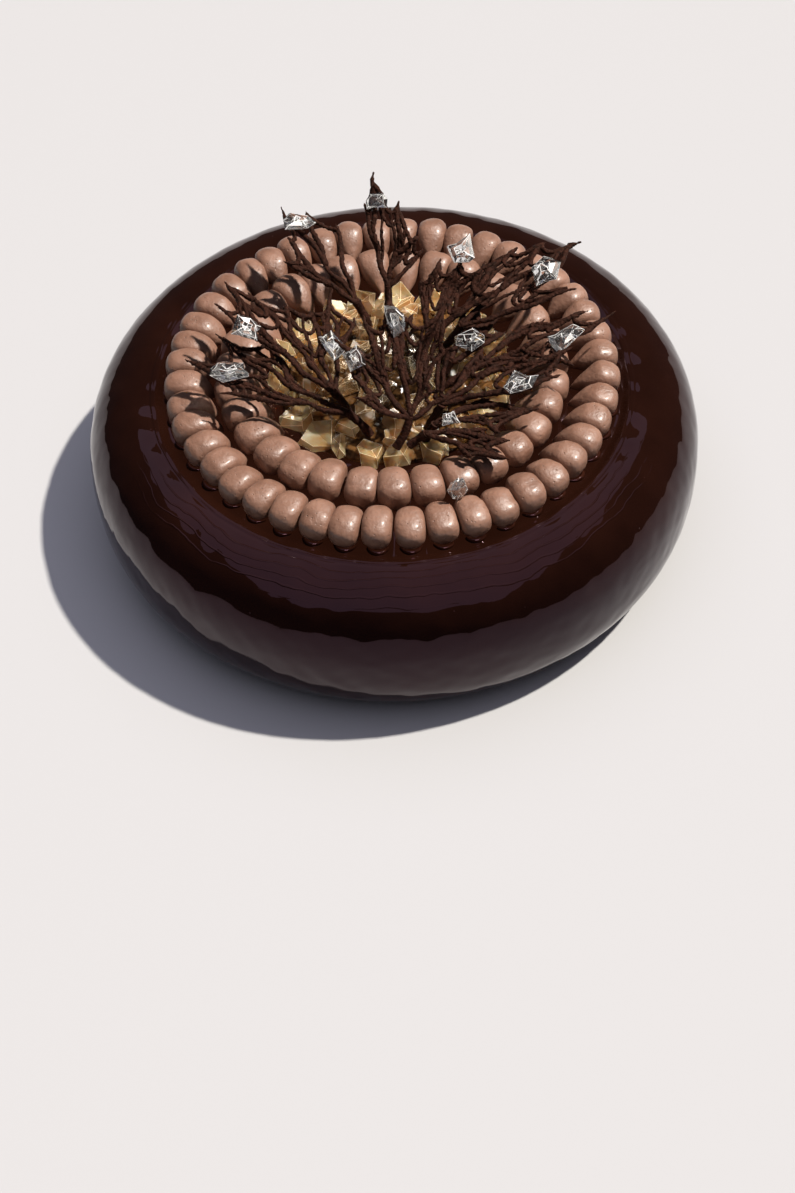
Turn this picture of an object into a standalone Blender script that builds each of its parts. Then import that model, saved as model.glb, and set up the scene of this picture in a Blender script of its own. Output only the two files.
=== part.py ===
"""Round mousse cake with a mirror glaze, piped drops, jelly and chocolate lace.

Metres, +Z up. The origin is the middle of the flat foot, and -Y is the front.
"""
import math
from dataclasses import dataclass

import bmesh
import bpy
import numpy as np
from mathutils import Matrix, Vector

# Clearance left between pieces that touch
GAP = 0.0003

# Glazed body: a disc whose side is one full round
CAKE_RADIUS = 0.0900
CAKE_HEIGHT = 0.0475
SIDE_FULLNESS = 2.45
FOOT_SINK = 0.0009
# The side starts this high, and the flat foot this far inside it
FOOT_RISE = 0.0005
FOOT_INSET = 0.0035
DISH_RADIUS = 0.0658
DISH_LIP = 0.0040
DISH_DEPTH = 0.0013
BODY_SEGMENTS = 48
BODY_SIDE_STEPS = 13
LIP_STEPS = 2
DISH_FLOOR = CAKE_HEIGHT - DISH_DEPTH

# Piped drops, as laid: the bulb points outwards and the tail to the middle
DROP_SIDES = 7
DROP_STATIONS = (0.62, -0.05, -0.55)
DROP_OVERLAP = 1.15
TAIL_TAPER = 0.75
# Heights of the bulb's end, the bulb's middle and the tip, over the drop's height
BULB_END_SHARE = 0.45
BULB_MIDDLE_SHARE = 0.48
TIP_SHARE = 0.10
# Largest unevenness of a drop: shares of its sizes, then metres and degrees
WIDTH_SPREAD = 0.03
LENGTH_SPREAD = 0.06
RADIUS_SPREAD = 0.0003
LIFT_SPREAD = 0.00004
YAW_SPREAD = 5
ANGLE_SPREAD = 0.5

# Jelly heap: chopped chunks on a low round core
HEAP_SEED = 5
HEAP_RADIUS = 0.0330
HEAP_SIDES = 20
HEAP_CORE_RISE = 0.0032
HEAP_CORE_EDGE = 0.0012
HEAP_TOP_SHARE = 0.75
HEAP_EDGE = 0.0352
HEAP_REACH = 0.0384
TAIL_CLEAR_HEIGHT = 0.0052
CHUNK_SIZE = (0.0047, 0.0039, 0.0031)
CHUNK_POINTS = 10
CHUNK_FOOT = 0.0008
# Unevenness of a chunk: least and most size, tilt in radians, then its place
CHUNK_SIZE_SPREAD = (0.8, 1.2)
CHUNK_TILT = 0.5
CHUNK_ANGLE_SPREAD = 0.25
CHUNK_LIFT_SPREAD = 0.0006
CHUNK_RADIUS_SPREAD = 0.0010
# How far a chunk's or a shard's corner directions are shaken
CORNER_SPREAD = 0.28
# Rings of chunks: how many, radius, height of their middles over the floor
CHUNK_RINGS = ((17, 0.0318, 0.0037), (9, 0.0190, 0.0046), (3, 0.0070, 0.0048))

# Chocolate lace
STEM_RADIUS = 0.00115
RIB_RADIUS = 0.00085
RIB_END_RADIUS = 0.00040
ARC_RADIUS = 0.00072
RIB_SIDES = 4
ARC_SIDES = 3
RIB_STEPS = 2
RIB_BEND = 0.7
STEM_RUN = 0.0006
STEM_POLE = (0.31, 0.17, 1.0)
HUB_START = 0.3
# The first rib's pole, and its change from rib to rib
RIB_POLE = (0.2, 0.1, 1.0)
RIB_POLE_STEP = (-0.07, 0.05)
FORK_SHARE = 0.42
ARC_JOIN_SHARE = 0.88
ARC_SHARES = (0.3, 0.7)
ARC_SAG = 0.16
ARC_POLE = (0.15, 0.35, 1.0)

# Clear shards
SHARD_POINTS = 12
# Steps along and across a fan's sheet that give its slope under a shard
SLOPE_DISTANCE = 0.001
SLOPE_ANGLE = 2.0


@dataclass(frozen=True)
class DropRing:
    """One ring of piped drops, sizes in metres and angles in degrees."""

    name: str
    count: int
    radius: float
    first_angle: float
    height: float
    bulb: float
    tail: float
    seed: int


@dataclass(frozen=True)
class LaceFan:
    """One lace fan on a curved sheet that leaves its hub.

    Heading and rise are degrees. Each tip is the end of one rib, given as its
    angle on the sheet in degrees and its distance from the hub in millimetres.
    """

    name: str
    foot: tuple
    hub: tuple
    heading: float
    rise: float
    cup: float
    roll: float
    tips: tuple


@dataclass(frozen=True)
class Shard:
    """One clear shard on a fan, placed by its angle and distance from the hub."""

    name: str
    fan: str
    angle: float
    distance: float
    lift: float
    size: tuple
    turn: float
    seed: int


RINGS = (
    DropRing("drops_outer", 44, 0.0597, -86.6, 0.0080, 0.0058, 0.0074, 3),
    DropRing("drops_inner", 31, 0.0458, -90.5, 0.0084, 0.0053, 0.0092, 8),
)

FANS = (
    LaceFan("lace_front", (0.0005, -0.0325, 0.0532), (0.0048, -0.0294, 0.0610), 92, 38, 5.0, 0.00,
            ((69, 17), (51, 21), (41, 30), (21, 30), (6, 37), (-5, 29), (-19, 33), (-36, 23),
             (-64, 12))),
    LaceFan("lace_front_right", (0.0042, -0.0322, 0.0535), (0.0080, -0.0315, 0.0575), -14, 2, 0.0,
            0.00, ((16, 18), (4, 25), (-15, 26), (-25, 17))),
    LaceFan("lace_right_front", (0.0080, -0.0285, 0.0496), (0.0108, -0.0280, 0.0572), 2, 6, 2.0,
            0.00, ((22, 17), (9, 23), (0, 30), (-17, 20))),
    LaceFan("lace_right_low", (0.0095, -0.0230, 0.0504), (0.0128, -0.0225, 0.0592), 8, 10, 3.0,
            0.05, ((46, 23), (28, 24), (21, 31), (11, 41), (-2, 34))),
    LaceFan("lace_middle", (0.0126, -0.0056, 0.0506), (0.0166, -0.0048, 0.0584), 42, 13, 2.0,
            0.00, ((21, 20), (2, 20), (-20, 18))),
    LaceFan("lace_right", (0.0134, -0.0121, 0.0549), (0.0186, -0.0101, 0.0580), 9, 10, 3.0, 0.00,
            ((25, 31), (15, 42), (9, 48), (-12, 33))),
    LaceFan("lace_back_right", (0.0148, 0.0080, 0.0507), (0.0197, 0.0046, 0.0634), 30, 15, 2.0,
            0.00, ((36, 22), (24, 30), (12, 38), (2, 43), (-24, 34))),
    LaceFan("lace_back_inner", (0.0071, 0.0014, 0.0547), (0.0106, 0.0026, 0.0610), 62, 30, 2.0,
            0.00, ((30, 18), (14, 24), (-1, 26), (-17, 26), (-35, 23))),
    LaceFan("lace_back", (-0.0008, 0.0205, 0.0503), (-0.0003, 0.0242, 0.0610), 92, 45, 0.0, 0.00,
            ((13, 25), (2, 34), (-13, 25), (-33, 17), (-47, 15))),
    LaceFan("lace_back_left", (-0.0053, 0.0162, 0.0505), (-0.0091, 0.0183, 0.0605), 124, 22, 2.0,
            0.00, ((28, 25), (13, 29), (3, 37), (-6, 33), (-17, 27))),
    LaceFan("lace_left_high", (-0.0125, -0.0180, 0.0534), (-0.0163, -0.0169, 0.0600), 122, 16, 3.0,
            0.05, ((21, 42), (9, 46), (4, 40), (-6, 33), (-18, 28), (-30, 34), (-42, 26))),
    LaceFan("lace_left", (-0.0065, -0.0250, 0.0508), (-0.0120, -0.0233, 0.0578), 159, 9, 0.0, 0.00,
            ((14, 36), (2, 49), (-12, 46), (-27, 39))),
)

SHARDS = (
    Shard("shard_front_top", "lace_front", 6, 28, 0.0, (0.0092, 0.0060, 0.0024), 20, 31),
    Shard("shard_front_left", "lace_front", 41, 22, 0.0, (0.0060, 0.0064, 0.0028), 65, 32),
    Shard("shard_front_low", "lace_right_front", -10, 5, 0.0, (0.0052, 0.0048, 0.0028), 15, 33),
    Shard("shard_right_low", "lace_right_low", -5, 23, 0.0, (0.0092, 0.0078, 0.0034), 30, 34),
    Shard("shard_right_inner", "lace_middle", -6, 8, 0.0, (0.0074, 0.0086, 0.0036), 60, 35),
    Shard("shard_right", "lace_right", 1, 32, 0.0002, (0.0114, 0.0082, 0.0034), 25, 36),
    Shard("shard_back_right", "lace_back_right", -5, 29, 0.0, (0.0100, 0.0086, 0.0032), 70, 37),
    Shard("shard_back_inner", "lace_back_inner", -1, 27, 0.0, (0.0086, 0.0078, 0.0034), 40, 38),
    Shard("shard_back", "lace_back", 5, 25, 0.0, (0.0064, 0.0046, 0.0022), 80, 39),
    Shard("shard_back_left", "lace_back_left", 4, 30, 0.0, (0.0098, 0.0062, 0.0032), 35, 40),
    Shard("shard_left_high", "lace_left_high", 25, 30, 0.0, (0.0082, 0.0072, 0.0032), 10, 41),
    Shard("shard_left_inner", "lace_left_high", -31, 14, 0.0, (0.0088, 0.0058, 0.0028), 50, 42),
    Shard("shard_left", "lace_left", 5, 36, 0.0, (0.0110, 0.0086, 0.0036), 15, 43),
)

# The shard that stands between two drops at the front
LOOSE_SHARD_PLACE = (0.0166, -0.0528, 0.0578)
LOOSE_SHARD_SIZE = (0.0058, 0.0026, 0.0088)
LOOSE_SHARD_SEED = 44

# Surface finishes: linear colour, roughness, transmission, and the angle in
# degrees up to which edges are shaded smooth
FINISHES = {
    "dark_glaze": ((0.020, 0.008, 0.005), 0.06, 0.0, 50),
    "ganache": ((0.330, 0.200, 0.145), 0.38, 0.0, 50),
    "amber_jelly": ((0.560, 0.350, 0.110), 0.10, 0.6, 15),
    "cocoa_lace": ((0.040, 0.018, 0.013), 0.75, 0.0, 40),
    "clear_jelly": ((0.920, 0.920, 0.900), 0.04, 1.0, 10),
}


def clear_scene():
    """Remove whatever objects the file opened with."""
    for obj in list(bpy.data.objects):
        bpy.data.objects.remove(obj, do_unlink=True)


def make_material(name):
    """Return a Principled material with the colour and finish named."""
    colour, roughness, transmission, _ = FINISHES[name]
    material = bpy.data.materials.new(name)
    material.use_nodes = True
    shader = material.node_tree.nodes["Principled BSDF"]
    shader.inputs["Base Color"].default_value = (*colour, 1.0)
    shader.inputs["Roughness"].default_value = roughness
    shader.inputs["Metallic"].default_value = 0.0
    shader.inputs["Transmission Weight"].default_value = transmission
    return material


def add_mesh(name, points, faces):
    """Make an object from points and faces, with its faces turned outwards."""
    mesh = bpy.data.meshes.new(name)
    mesh.from_pydata([tuple(p) for p in points], [], [tuple(f) for f in faces])
    sheet = bmesh.new()
    sheet.from_mesh(mesh)
    bmesh.ops.recalc_face_normals(sheet, faces=sheet.faces)
    sheet.to_mesh(mesh)
    sheet.free()
    obj = bpy.data.objects.new(name, mesh)
    bpy.context.scene.collection.objects.link(obj)
    return obj


def finish_node(obj, name, finish):
    """Name the node, give it its material and shade it smooth up to the finish's angle."""
    material = bpy.data.materials.get(finish) or make_material(finish)
    smooth_angle = FINISHES[finish][-1]
    obj.name = name
    obj.data.name = name
    obj.data.materials.clear()
    obj.data.materials.append(material)
    obj.data.shade_smooth()
    obj.data.set_sharp_from_angle(angle=math.radians(smooth_angle))


def fuse(pieces, solver="EXACT"):
    """Join overlapping closed pieces into one solid by a Boolean union."""
    base = pieces[0]
    others = bpy.data.collections.new("to_fuse")
    bpy.context.scene.collection.children.link(others)
    for piece in pieces[1:]:
        for holder in list(piece.users_collection):
            holder.objects.unlink(piece)
        others.objects.link(piece)
    union = base.modifiers.new("union", "BOOLEAN")
    union.operation = "UNION"
    union.operand_type = "COLLECTION"
    union.collection = others
    union.solver = solver
    bpy.context.view_layer.update()
    graph = bpy.context.evaluated_depsgraph_get()
    joined = bpy.data.meshes.new_from_object(base.evaluated_get(graph))
    base.modifiers.remove(union)
    base.data = joined
    for piece in list(others.objects):
        bpy.data.objects.remove(piece, do_unlink=True)
    bpy.data.collections.remove(others)
    return base


def ring_faces(rings, sides):
    """Return the side quads between stacked rings of equal point count."""
    faces = []
    for ring in range(rings - 1):
        for side in range(sides):
            after = (side + 1) % sides
            faces.append((ring * sides + side, ring * sides + after,
                          (ring + 1) * sides + after, (ring + 1) * sides + side))
    return faces


def body_profile():
    """Return the turned outline of the body, foot to dish, as (radius, height)."""
    half = CAKE_HEIGHT / 2
    angles = np.linspace(-math.pi / 2, math.pi / 2, 2 * BODY_SIDE_STEPS + 1)[1::2]
    power = 2 / SIDE_FULLNESS
    radius = CAKE_RADIUS - half + half * np.cos(angles) ** power
    sine = np.sin(angles)
    height = half + (half + FOOT_SINK / 2) * np.sign(sine) * np.abs(sine) ** power
    outline = [(r, max(z, 0.0)) for r, z in zip(radius, height - FOOT_SINK / 2)]
    above = [point for point in outline if point[1] > FOOT_RISE]
    above.insert(0, (above[0][0] - FOOT_INSET, 0.0))
    crest = DISH_RADIUS + DISH_LIP
    side = [point for point in above if point[0] > crest or point[1] < half]
    for step in range(LIP_STEPS + 1):
        share = step / LIP_STEPS
        drop = DISH_DEPTH * (1 - math.cos(math.pi * share)) / 2
        side.append((crest - DISH_LIP * share, CAKE_HEIGHT - drop))
    return side


def build_body():
    """Turn the outline round the axis and close the foot and the dish floor."""
    outline = body_profile()
    turns = np.linspace(0, 2 * math.pi, BODY_SEGMENTS, endpoint=False)
    points = [(r * math.cos(a), r * math.sin(a), z) for r, z in outline for a in turns]
    faces = ring_faces(len(outline), BODY_SEGMENTS)
    faces.append(tuple(reversed(range(BODY_SEGMENTS))))
    last = (len(outline) - 1) * BODY_SEGMENTS
    faces.append(tuple(range(last, last + BODY_SEGMENTS)))
    return add_mesh("cake_body", points, faces)


def drop_points(width, height, bulb, tail):
    """Return one drop's points: bulb end, rings of sections, tail tip.

    A section is an ellipse that lies on the floor. It narrows as a quarter
    ellipse towards the bulb's end and as a raised cosine towards the tip.
    """
    turns = np.linspace(0, 2 * math.pi, DROP_SIDES, endpoint=False) + math.pi / 2
    points = [(bulb, 0.0, height * BULB_END_SHARE)]
    for station in DROP_STATIONS:
        if station > 0:
            size = math.sqrt(1 - station ** 2)
            along = station * bulb
            middle = height * BULB_MIDDLE_SHARE
        else:
            size = ((1 + math.cos(math.pi * station)) / 2) ** TAIL_TAPER
            along = station * tail
            middle = height * 0.5 * size
        for turn in turns:
            across = math.cos(turn) * width / 2 * size
            up = middle + math.sin(turn) * height / 2 * size
            points.append((along, across, max(up, 0.0)))
    points.append((-tail, 0.0, height * TIP_SHARE))
    return points


def drop_faces():
    """Return the faces that close one drop."""
    rings = len(DROP_STATIONS)
    faces = [tuple(1 + i for i in face) for face in ring_faces(rings, DROP_SIDES)]
    tip = 1 + rings * DROP_SIDES
    last = tip - DROP_SIDES
    for side in range(DROP_SIDES):
        after = (side + 1) % DROP_SIDES
        faces.append((0, 1 + after, 1 + side))
        faces.append((tip, last + side, last + after))
    return faces


def build_drop_ring(ring):
    """Lay a ring of uneven drops on the dish floor and fuse them where they press."""
    draw = np.random.default_rng(ring.seed)
    width = 2 * math.pi * ring.radius / ring.count * DROP_OVERLAP
    pieces = []
    for index in range(ring.count):
        wide, high, long, out, yaw, turn = draw.uniform(-1, 1, 6)
        points = drop_points(width * (1 + WIDTH_SPREAD * wide),
                             ring.height * (1 + LENGTH_SPREAD * high),
                             ring.bulb, ring.tail * (1 + LENGTH_SPREAD * long))
        angle = math.radians(ring.first_angle + 360 * index / ring.count + ANGLE_SPREAD * turn)
        rest = DISH_FLOOR + GAP + LIFT_SPREAD * (1 + wide)
        place = (Matrix.Rotation(angle, 4, "Z")
                 @ Matrix.Translation((ring.radius + RADIUS_SPREAD * out, 0, rest))
                 @ Matrix.Rotation(math.radians(YAW_SPREAD * yaw), 4, "Z"))
        placed = [place @ Vector(p) for p in points]
        pieces.append(add_mesh("drop", placed, drop_faces()))
    return fuse(pieces)


def hull_chunk(name, points):
    """Make a closed faceted chunk as the hull of its points."""
    sheet = bmesh.new()
    for point in points:
        sheet.verts.new(point)
    result = bmesh.ops.convex_hull(sheet, input=sheet.verts)
    inside = [item for item in result["geom_interior"] if isinstance(item, bmesh.types.BMVert)]
    bmesh.ops.delete(sheet, geom=inside, context="VERTS")
    mesh = bpy.data.meshes.new(name)
    sheet.to_mesh(mesh)
    sheet.free()
    obj = bpy.data.objects.new(name, mesh)
    bpy.context.scene.collection.objects.link(obj)
    return obj


def random_directions(draw, count):
    """Return evenly spread unit directions, shaken a little."""
    steps = np.arange(count) + 0.5
    polar = np.arccos(1 - 2 * steps / count)
    turn = math.pi * (1 + math.sqrt(5)) * steps
    spread = np.stack([np.cos(turn) * np.sin(polar), np.sin(turn) * np.sin(polar),
                       np.cos(polar)], 1)
    spread += draw.uniform(-CORNER_SPREAD, CORNER_SPREAD, spread.shape)
    return spread / np.linalg.norm(spread, axis=1)[:, None]


def heap_core(floor):
    """Return the low round core that the chunks are fused on."""
    turns = np.linspace(0, 2 * math.pi, HEAP_SIDES, endpoint=False)
    outline = ((HEAP_RADIUS, floor), (HEAP_RADIUS, floor + HEAP_CORE_EDGE),
               (HEAP_TOP_SHARE * HEAP_RADIUS, floor + HEAP_CORE_RISE))
    points = [(r * math.cos(a), r * math.sin(a), z) for r, z in outline for a in turns]
    faces = ring_faces(len(outline), HEAP_SIDES)
    faces.append(tuple(reversed(range(HEAP_SIDES))))
    last = (len(outline) - 1) * HEAP_SIDES
    faces.append(tuple(range(last, last + HEAP_SIDES)))
    return add_mesh("heap_core", points, faces)


def chunk_points(draw, radius, angle, height):
    """Return the corners of one chunk, kept clear of the floor and the drops.

    Points past the core's edge stay above the tails of the drops, and none
    goes farther out than the reach.
    """
    floor = DISH_FLOOR + GAP
    centre = np.array([radius * math.cos(angle), radius * math.sin(angle), floor + height])
    size = np.array(CHUNK_SIZE) * draw.uniform(*CHUNK_SIZE_SPREAD, 3)
    turn = Matrix.Rotation(draw.uniform(0, math.pi), 3, "Z")
    turn = np.array(turn @ Matrix.Rotation(draw.uniform(-CHUNK_TILT, CHUNK_TILT), 3, "X"))
    cloud = random_directions(draw, CHUNK_POINTS) * size @ turn.T + centre
    reach = np.hypot(cloud[:, 0], cloud[:, 1])
    cloud[:, :2] *= np.minimum(1, HEAP_REACH / reach)[:, None]
    low = np.where(reach > HEAP_EDGE, floor + TAIL_CLEAR_HEIGHT, floor + CHUNK_FOOT)
    cloud[:, 2] = np.maximum(cloud[:, 2], low)
    return [tuple(p) for p in cloud]


def build_heap():
    """Fuse rings of uneven cut chunks onto a core that lies on the dish floor."""
    draw = np.random.default_rng(HEAP_SEED)
    pieces = [heap_core(DISH_FLOOR + GAP)]
    for count, radius, height in CHUNK_RINGS:
        for index in range(count):
            shift = draw.uniform(-CHUNK_ANGLE_SPREAD, CHUNK_ANGLE_SPREAD)
            angle = 2 * math.pi * (index + shift) / count
            lift = height + CHUNK_LIFT_SPREAD * draw.uniform(-1, 1)
            out = radius + CHUNK_RADIUS_SPREAD * draw.uniform(-1, 1)
            pieces.append(hull_chunk("chunk", chunk_points(draw, out, angle, lift)))
    return fuse(pieces)


def fan_point(fan, distance, angle):
    """Return the place on a fan's curved sheet at a distance and angle from its hub.

    The sheet rises by the fan's rise angle, lifts at its sides by the cup,
    which is a rise per square metre of width, and leans by the roll.
    """
    along = distance * math.cos(math.radians(angle))
    across = distance * math.sin(math.radians(angle))
    rise = math.radians(fan.rise)
    heading = math.radians(fan.heading)
    level = along * math.cos(rise)
    height = along * math.sin(rise) + fan.cup * across ** 2 + fan.roll * across
    x = fan.hub[0] + level * math.cos(heading) - across * math.sin(heading)
    y = fan.hub[1] + level * math.sin(heading) + across * math.cos(heading)
    return Vector((x, y, fan.hub[2] + height))


def strand(points, start_radius, end_radius, sides, pole):
    """Make a closed strand along points, thinning evenly towards its end.

    The pole is the way the section's first corner faces, cleared of the part
    that runs along the strand.
    """
    points = [Vector(p) for p in points]
    total = len(points)
    verts = []
    for index, point in enumerate(points):
        ahead = (points[min(index + 1, total - 1)] - points[max(index - 1, 0)]).normalized()
        side = Vector(pole)
        side = (side - ahead * side.dot(ahead)).normalized()
        other = ahead.cross(side)
        radius = start_radius + (end_radius - start_radius) * index / (total - 1)
        for corner in range(sides):
            turn = 2 * math.pi * corner / sides
            verts.append(point + radius * (math.cos(turn) * side + math.sin(turn) * other))
    faces = ring_faces(total, sides)
    faces.append(tuple(reversed(range(sides))))
    last = (total - 1) * sides
    faces.append(tuple(range(last, last + sides)))
    return add_mesh("strand", verts, faces)


def rib_path(start, tip):
    """Return a rib from a start to its tip, both (angle, distance) on the sheet.

    The angle runs ahead of the distance, so the rib bends like a leaf's vein.
    """
    path = []
    for step in range(RIB_STEPS + 1):
        share = step / RIB_STEPS
        turn = share ** RIB_BEND if start[1] > 0 else 1.0
        path.append((start[0] + (tip[0] - start[0]) * turn,
                     start[1] + (tip[1] - start[1]) * share))
    return path


def scallop_path(tips):
    """Return one line through every rib near its tip, sagging between ribs."""
    path = []
    for index, (angle, length) in enumerate(tips):
        path.append((angle, length * ARC_JOIN_SHARE))
        if index + 1 == len(tips):
            break
        after = tips[index + 1]
        for share in ARC_SHARES:
            reach = length + (after[1] - length) * share
            sag = 1 - ARC_SAG * math.sin(math.pi * share)
            path.append((angle + (after[0] - angle) * share, reach * ARC_JOIN_SHARE * sag))
    return path


def build_fan(fan):
    """Fuse a fan's stem, ribs and scallops into one piece of lace.

    Every second rib forks from the one before it; the others leave the hub.
    """
    hub = Vector(fan.hub)
    foot = Vector(fan.foot)
    stem = [foot, (foot + hub) / 2, fan_point(fan, STEM_RUN, 0.0)]
    pieces = [strand(stem, STEM_RADIUS, STEM_RADIUS, RIB_SIDES, STEM_POLE)]
    for index, tip in enumerate(fan.tips):
        start = (tip[0], HUB_START)
        if index % 2:
            trunk = fan.tips[index - 1]
            start = (trunk[0], trunk[1] * FORK_SHARE)
        path = [fan_point(fan, distance / 1000, angle) for angle, distance in rib_path(start, tip)]
        pole = (RIB_POLE[0] + RIB_POLE_STEP[0] * index,
                RIB_POLE[1] + RIB_POLE_STEP[1] * index, RIB_POLE[2])
        pieces.append(strand(path, RIB_RADIUS, RIB_END_RADIUS, RIB_SIDES, pole))
    path = [fan_point(fan, distance / 1000, angle) for angle, distance in scallop_path(fan.tips)]
    pieces.append(strand(path, ARC_RADIUS, ARC_RADIUS, ARC_SIDES, ARC_POLE))
    return fuse(pieces, "MANIFOLD")


def shard_cloud(size, seed):
    """Return the corner points of an uneven shard of the given size."""
    draw = np.random.default_rng(seed)
    return random_directions(draw, SHARD_POINTS) * np.array(size) / 2


def build_shard(shard):
    """Lay a shard on its fan, clear of the strands by the gap."""
    fan = next(item for item in FANS if item.name == shard.fan)
    distance = shard.distance / 1000
    centre = fan_point(fan, distance, shard.angle)
    ahead = (fan_point(fan, distance + SLOPE_DISTANCE, shard.angle) - centre).normalized()
    aside = (fan_point(fan, distance, shard.angle + SLOPE_ANGLE) - centre).normalized()
    normal = ahead.cross(aside).normalized()
    aside = normal.cross(ahead)
    frame = Matrix((ahead, aside, normal)).transposed()
    turn = Matrix.Rotation(math.radians(shard.turn), 3, "Z")
    cloud = [turn @ Vector(p) for p in shard_cloud(shard.size, shard.seed)]
    rest = RIB_RADIUS + GAP - min(p.z for p in cloud) + shard.lift
    placed = [centre + frame @ (p + Vector((0, 0, rest))) for p in cloud]
    return hull_chunk(shard.name, placed)


def build_loose_shard():
    """Stand a flat shard in the valley between the two rings of drops."""
    cloud = [Vector(p) for p in shard_cloud(LOOSE_SHARD_SIZE, LOOSE_SHARD_SEED)]
    placed = [p + Vector(LOOSE_SHARD_PLACE) for p in cloud]
    return hull_chunk("shard_between_drops", placed)


def main():
    """Build every piece of the cake."""
    clear_scene()
    finish_node(build_body(), "cake_body", "dark_glaze")
    for ring in RINGS:
        finish_node(build_drop_ring(ring), ring.name, "ganache")
    finish_node(build_heap(), "jelly_heap", "amber_jelly")
    for fan in FANS:
        finish_node(build_fan(fan), fan.name, "cocoa_lace")
    for shard in SHARDS:
        finish_node(build_shard(shard), shard.name, "clear_jelly")
    finish_node(build_loose_shard(), "shard_between_drops", "clear_jelly")


main()
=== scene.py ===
"""Looks of a round mousse cake: mirror glaze, piped drops, jelly, cocoa lace and shards.

Metres, +Z up. The origin is the middle of the foot, and -Y is the front.
"""
import logging
import math
from dataclasses import dataclass, field
from enum import Enum, IntEnum
from functools import cached_property
from typing import Iterable, Optional

import bpy
import numpy as np
from mathutils import Matrix, Vector


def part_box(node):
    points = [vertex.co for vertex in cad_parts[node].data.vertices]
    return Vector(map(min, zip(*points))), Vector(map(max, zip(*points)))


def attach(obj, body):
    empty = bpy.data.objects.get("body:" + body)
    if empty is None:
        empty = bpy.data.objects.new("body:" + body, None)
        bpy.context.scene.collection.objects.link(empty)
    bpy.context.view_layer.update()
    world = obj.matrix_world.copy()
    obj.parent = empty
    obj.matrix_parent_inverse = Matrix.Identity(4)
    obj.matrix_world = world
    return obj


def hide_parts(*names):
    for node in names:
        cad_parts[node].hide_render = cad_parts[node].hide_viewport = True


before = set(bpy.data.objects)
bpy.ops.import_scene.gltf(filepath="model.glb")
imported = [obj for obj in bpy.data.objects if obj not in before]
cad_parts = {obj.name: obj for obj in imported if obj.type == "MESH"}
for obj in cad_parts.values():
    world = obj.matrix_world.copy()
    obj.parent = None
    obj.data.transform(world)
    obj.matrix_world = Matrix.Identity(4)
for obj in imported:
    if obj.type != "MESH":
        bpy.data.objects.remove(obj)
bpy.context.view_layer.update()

LOG = logging.getLogger("cake")
ROOT = "root"
Pair = tuple[float, float]
Triple = tuple[float, float, float]
Colour = Triple

# Clearance between pieces that touch
GAP = 0.0003

# Edges sharper than this, in degrees, get a bevel whose pale finish paints highlights along them
EDGE_ANGLE = 34

# Sine waves in one noise, and the least and most number of them over the middle one
WAVES = 9
WAVE_SPREAD = (0.6, 1.5)

UP = (0.0, 0.0, 1.0)
FULL_TURN = 2 * math.pi


class Slot(Enum):
    """Material slots of the record."""

    GLAZE = "dark_glaze"
    GANACHE = "ganache"
    JELLY = "amber_jelly"
    LACE = "cocoa_lace"
    CLEAR = "clear_jelly"


# Number work shared by all pieces


def unit(vectors: np.ndarray) -> np.ndarray:
    """Return the vectors at length one."""
    return vectors / np.linalg.norm(vectors, axis=-1, keepdims=True)


def smooth_step(values: np.ndarray, low: float, high: float) -> np.ndarray:
    """Return 0 below low, 1 above high and the cubic 3t^2 - 2t^3 between."""
    share = np.clip((values - low) / (high - low), 0, 1)
    return share * share * (3 - 2 * share)


@dataclass(frozen=True)
class Wave:
    """Smooth unevenness.

    Attributes:
        height: Its height in metres, or the share by which it changes a size.
        length: Middle wavelength in metres.
        seed: Seed of its directions and phases.
    """

    height: float
    length: float
    seed: int = 0

    def at(self, points: np.ndarray, seed: int = 0) -> np.ndarray:
        """Return the unevenness at points.

        It is a sum of sine waves in random directions, whose lengths are spread
        round the middle one, over the square root of their count.

        Args:
            points: Places in metres, any shape that ends in 3.
            seed: Number added to its own seed.

        Returns:
            One value per point, of about -1 to 1 times the height.
        """
        draw = np.random.default_rng(self.seed + seed)
        ways = unit(draw.normal(size=(WAVES, 3)))
        ways *= FULL_TURN / self.length * draw.uniform(*WAVE_SPREAD, (WAVES, 1))
        phases = draw.uniform(0, FULL_TURN, WAVES)
        return self.height * (np.sin(points @ ways.T + phases).sum(-1) / math.sqrt(WAVES))


def circle(sides: int) -> np.ndarray:
    """Return evenly spread angles of one turn, the last one left out."""
    return np.linspace(0, FULL_TURN, sides, endpoint=False)


def through(points: np.ndarray, count: int) -> np.ndarray:
    """Return a smooth line through points.

    A Catmull-Rom curve: each stretch is a cubic whose slopes at its ends are
    half the step between the neighbours.

    Args:
        points: Places to pass, one row each.
        count: Samples along the whole line.

    Returns:
        Samples, one row each.
    """
    padded = np.concatenate([[2 * points[0] - points[1]], points, [2 * points[-1] - points[-2]]])
    where = np.linspace(0, len(points) - 1, count)
    index = np.minimum(where.astype(int), len(points) - 2)
    t = (where - index)[:, None]
    a, b, c, d = (padded[index + i] for i in range(4))
    return 0.5 * (2 * b + (c - a) * t + (2 * a - 5 * b + 4 * c - d) * t ** 2 +
                  (3 * b - a - 3 * c + d) * t ** 3)


# Shapes: points with quads and triangles


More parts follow.
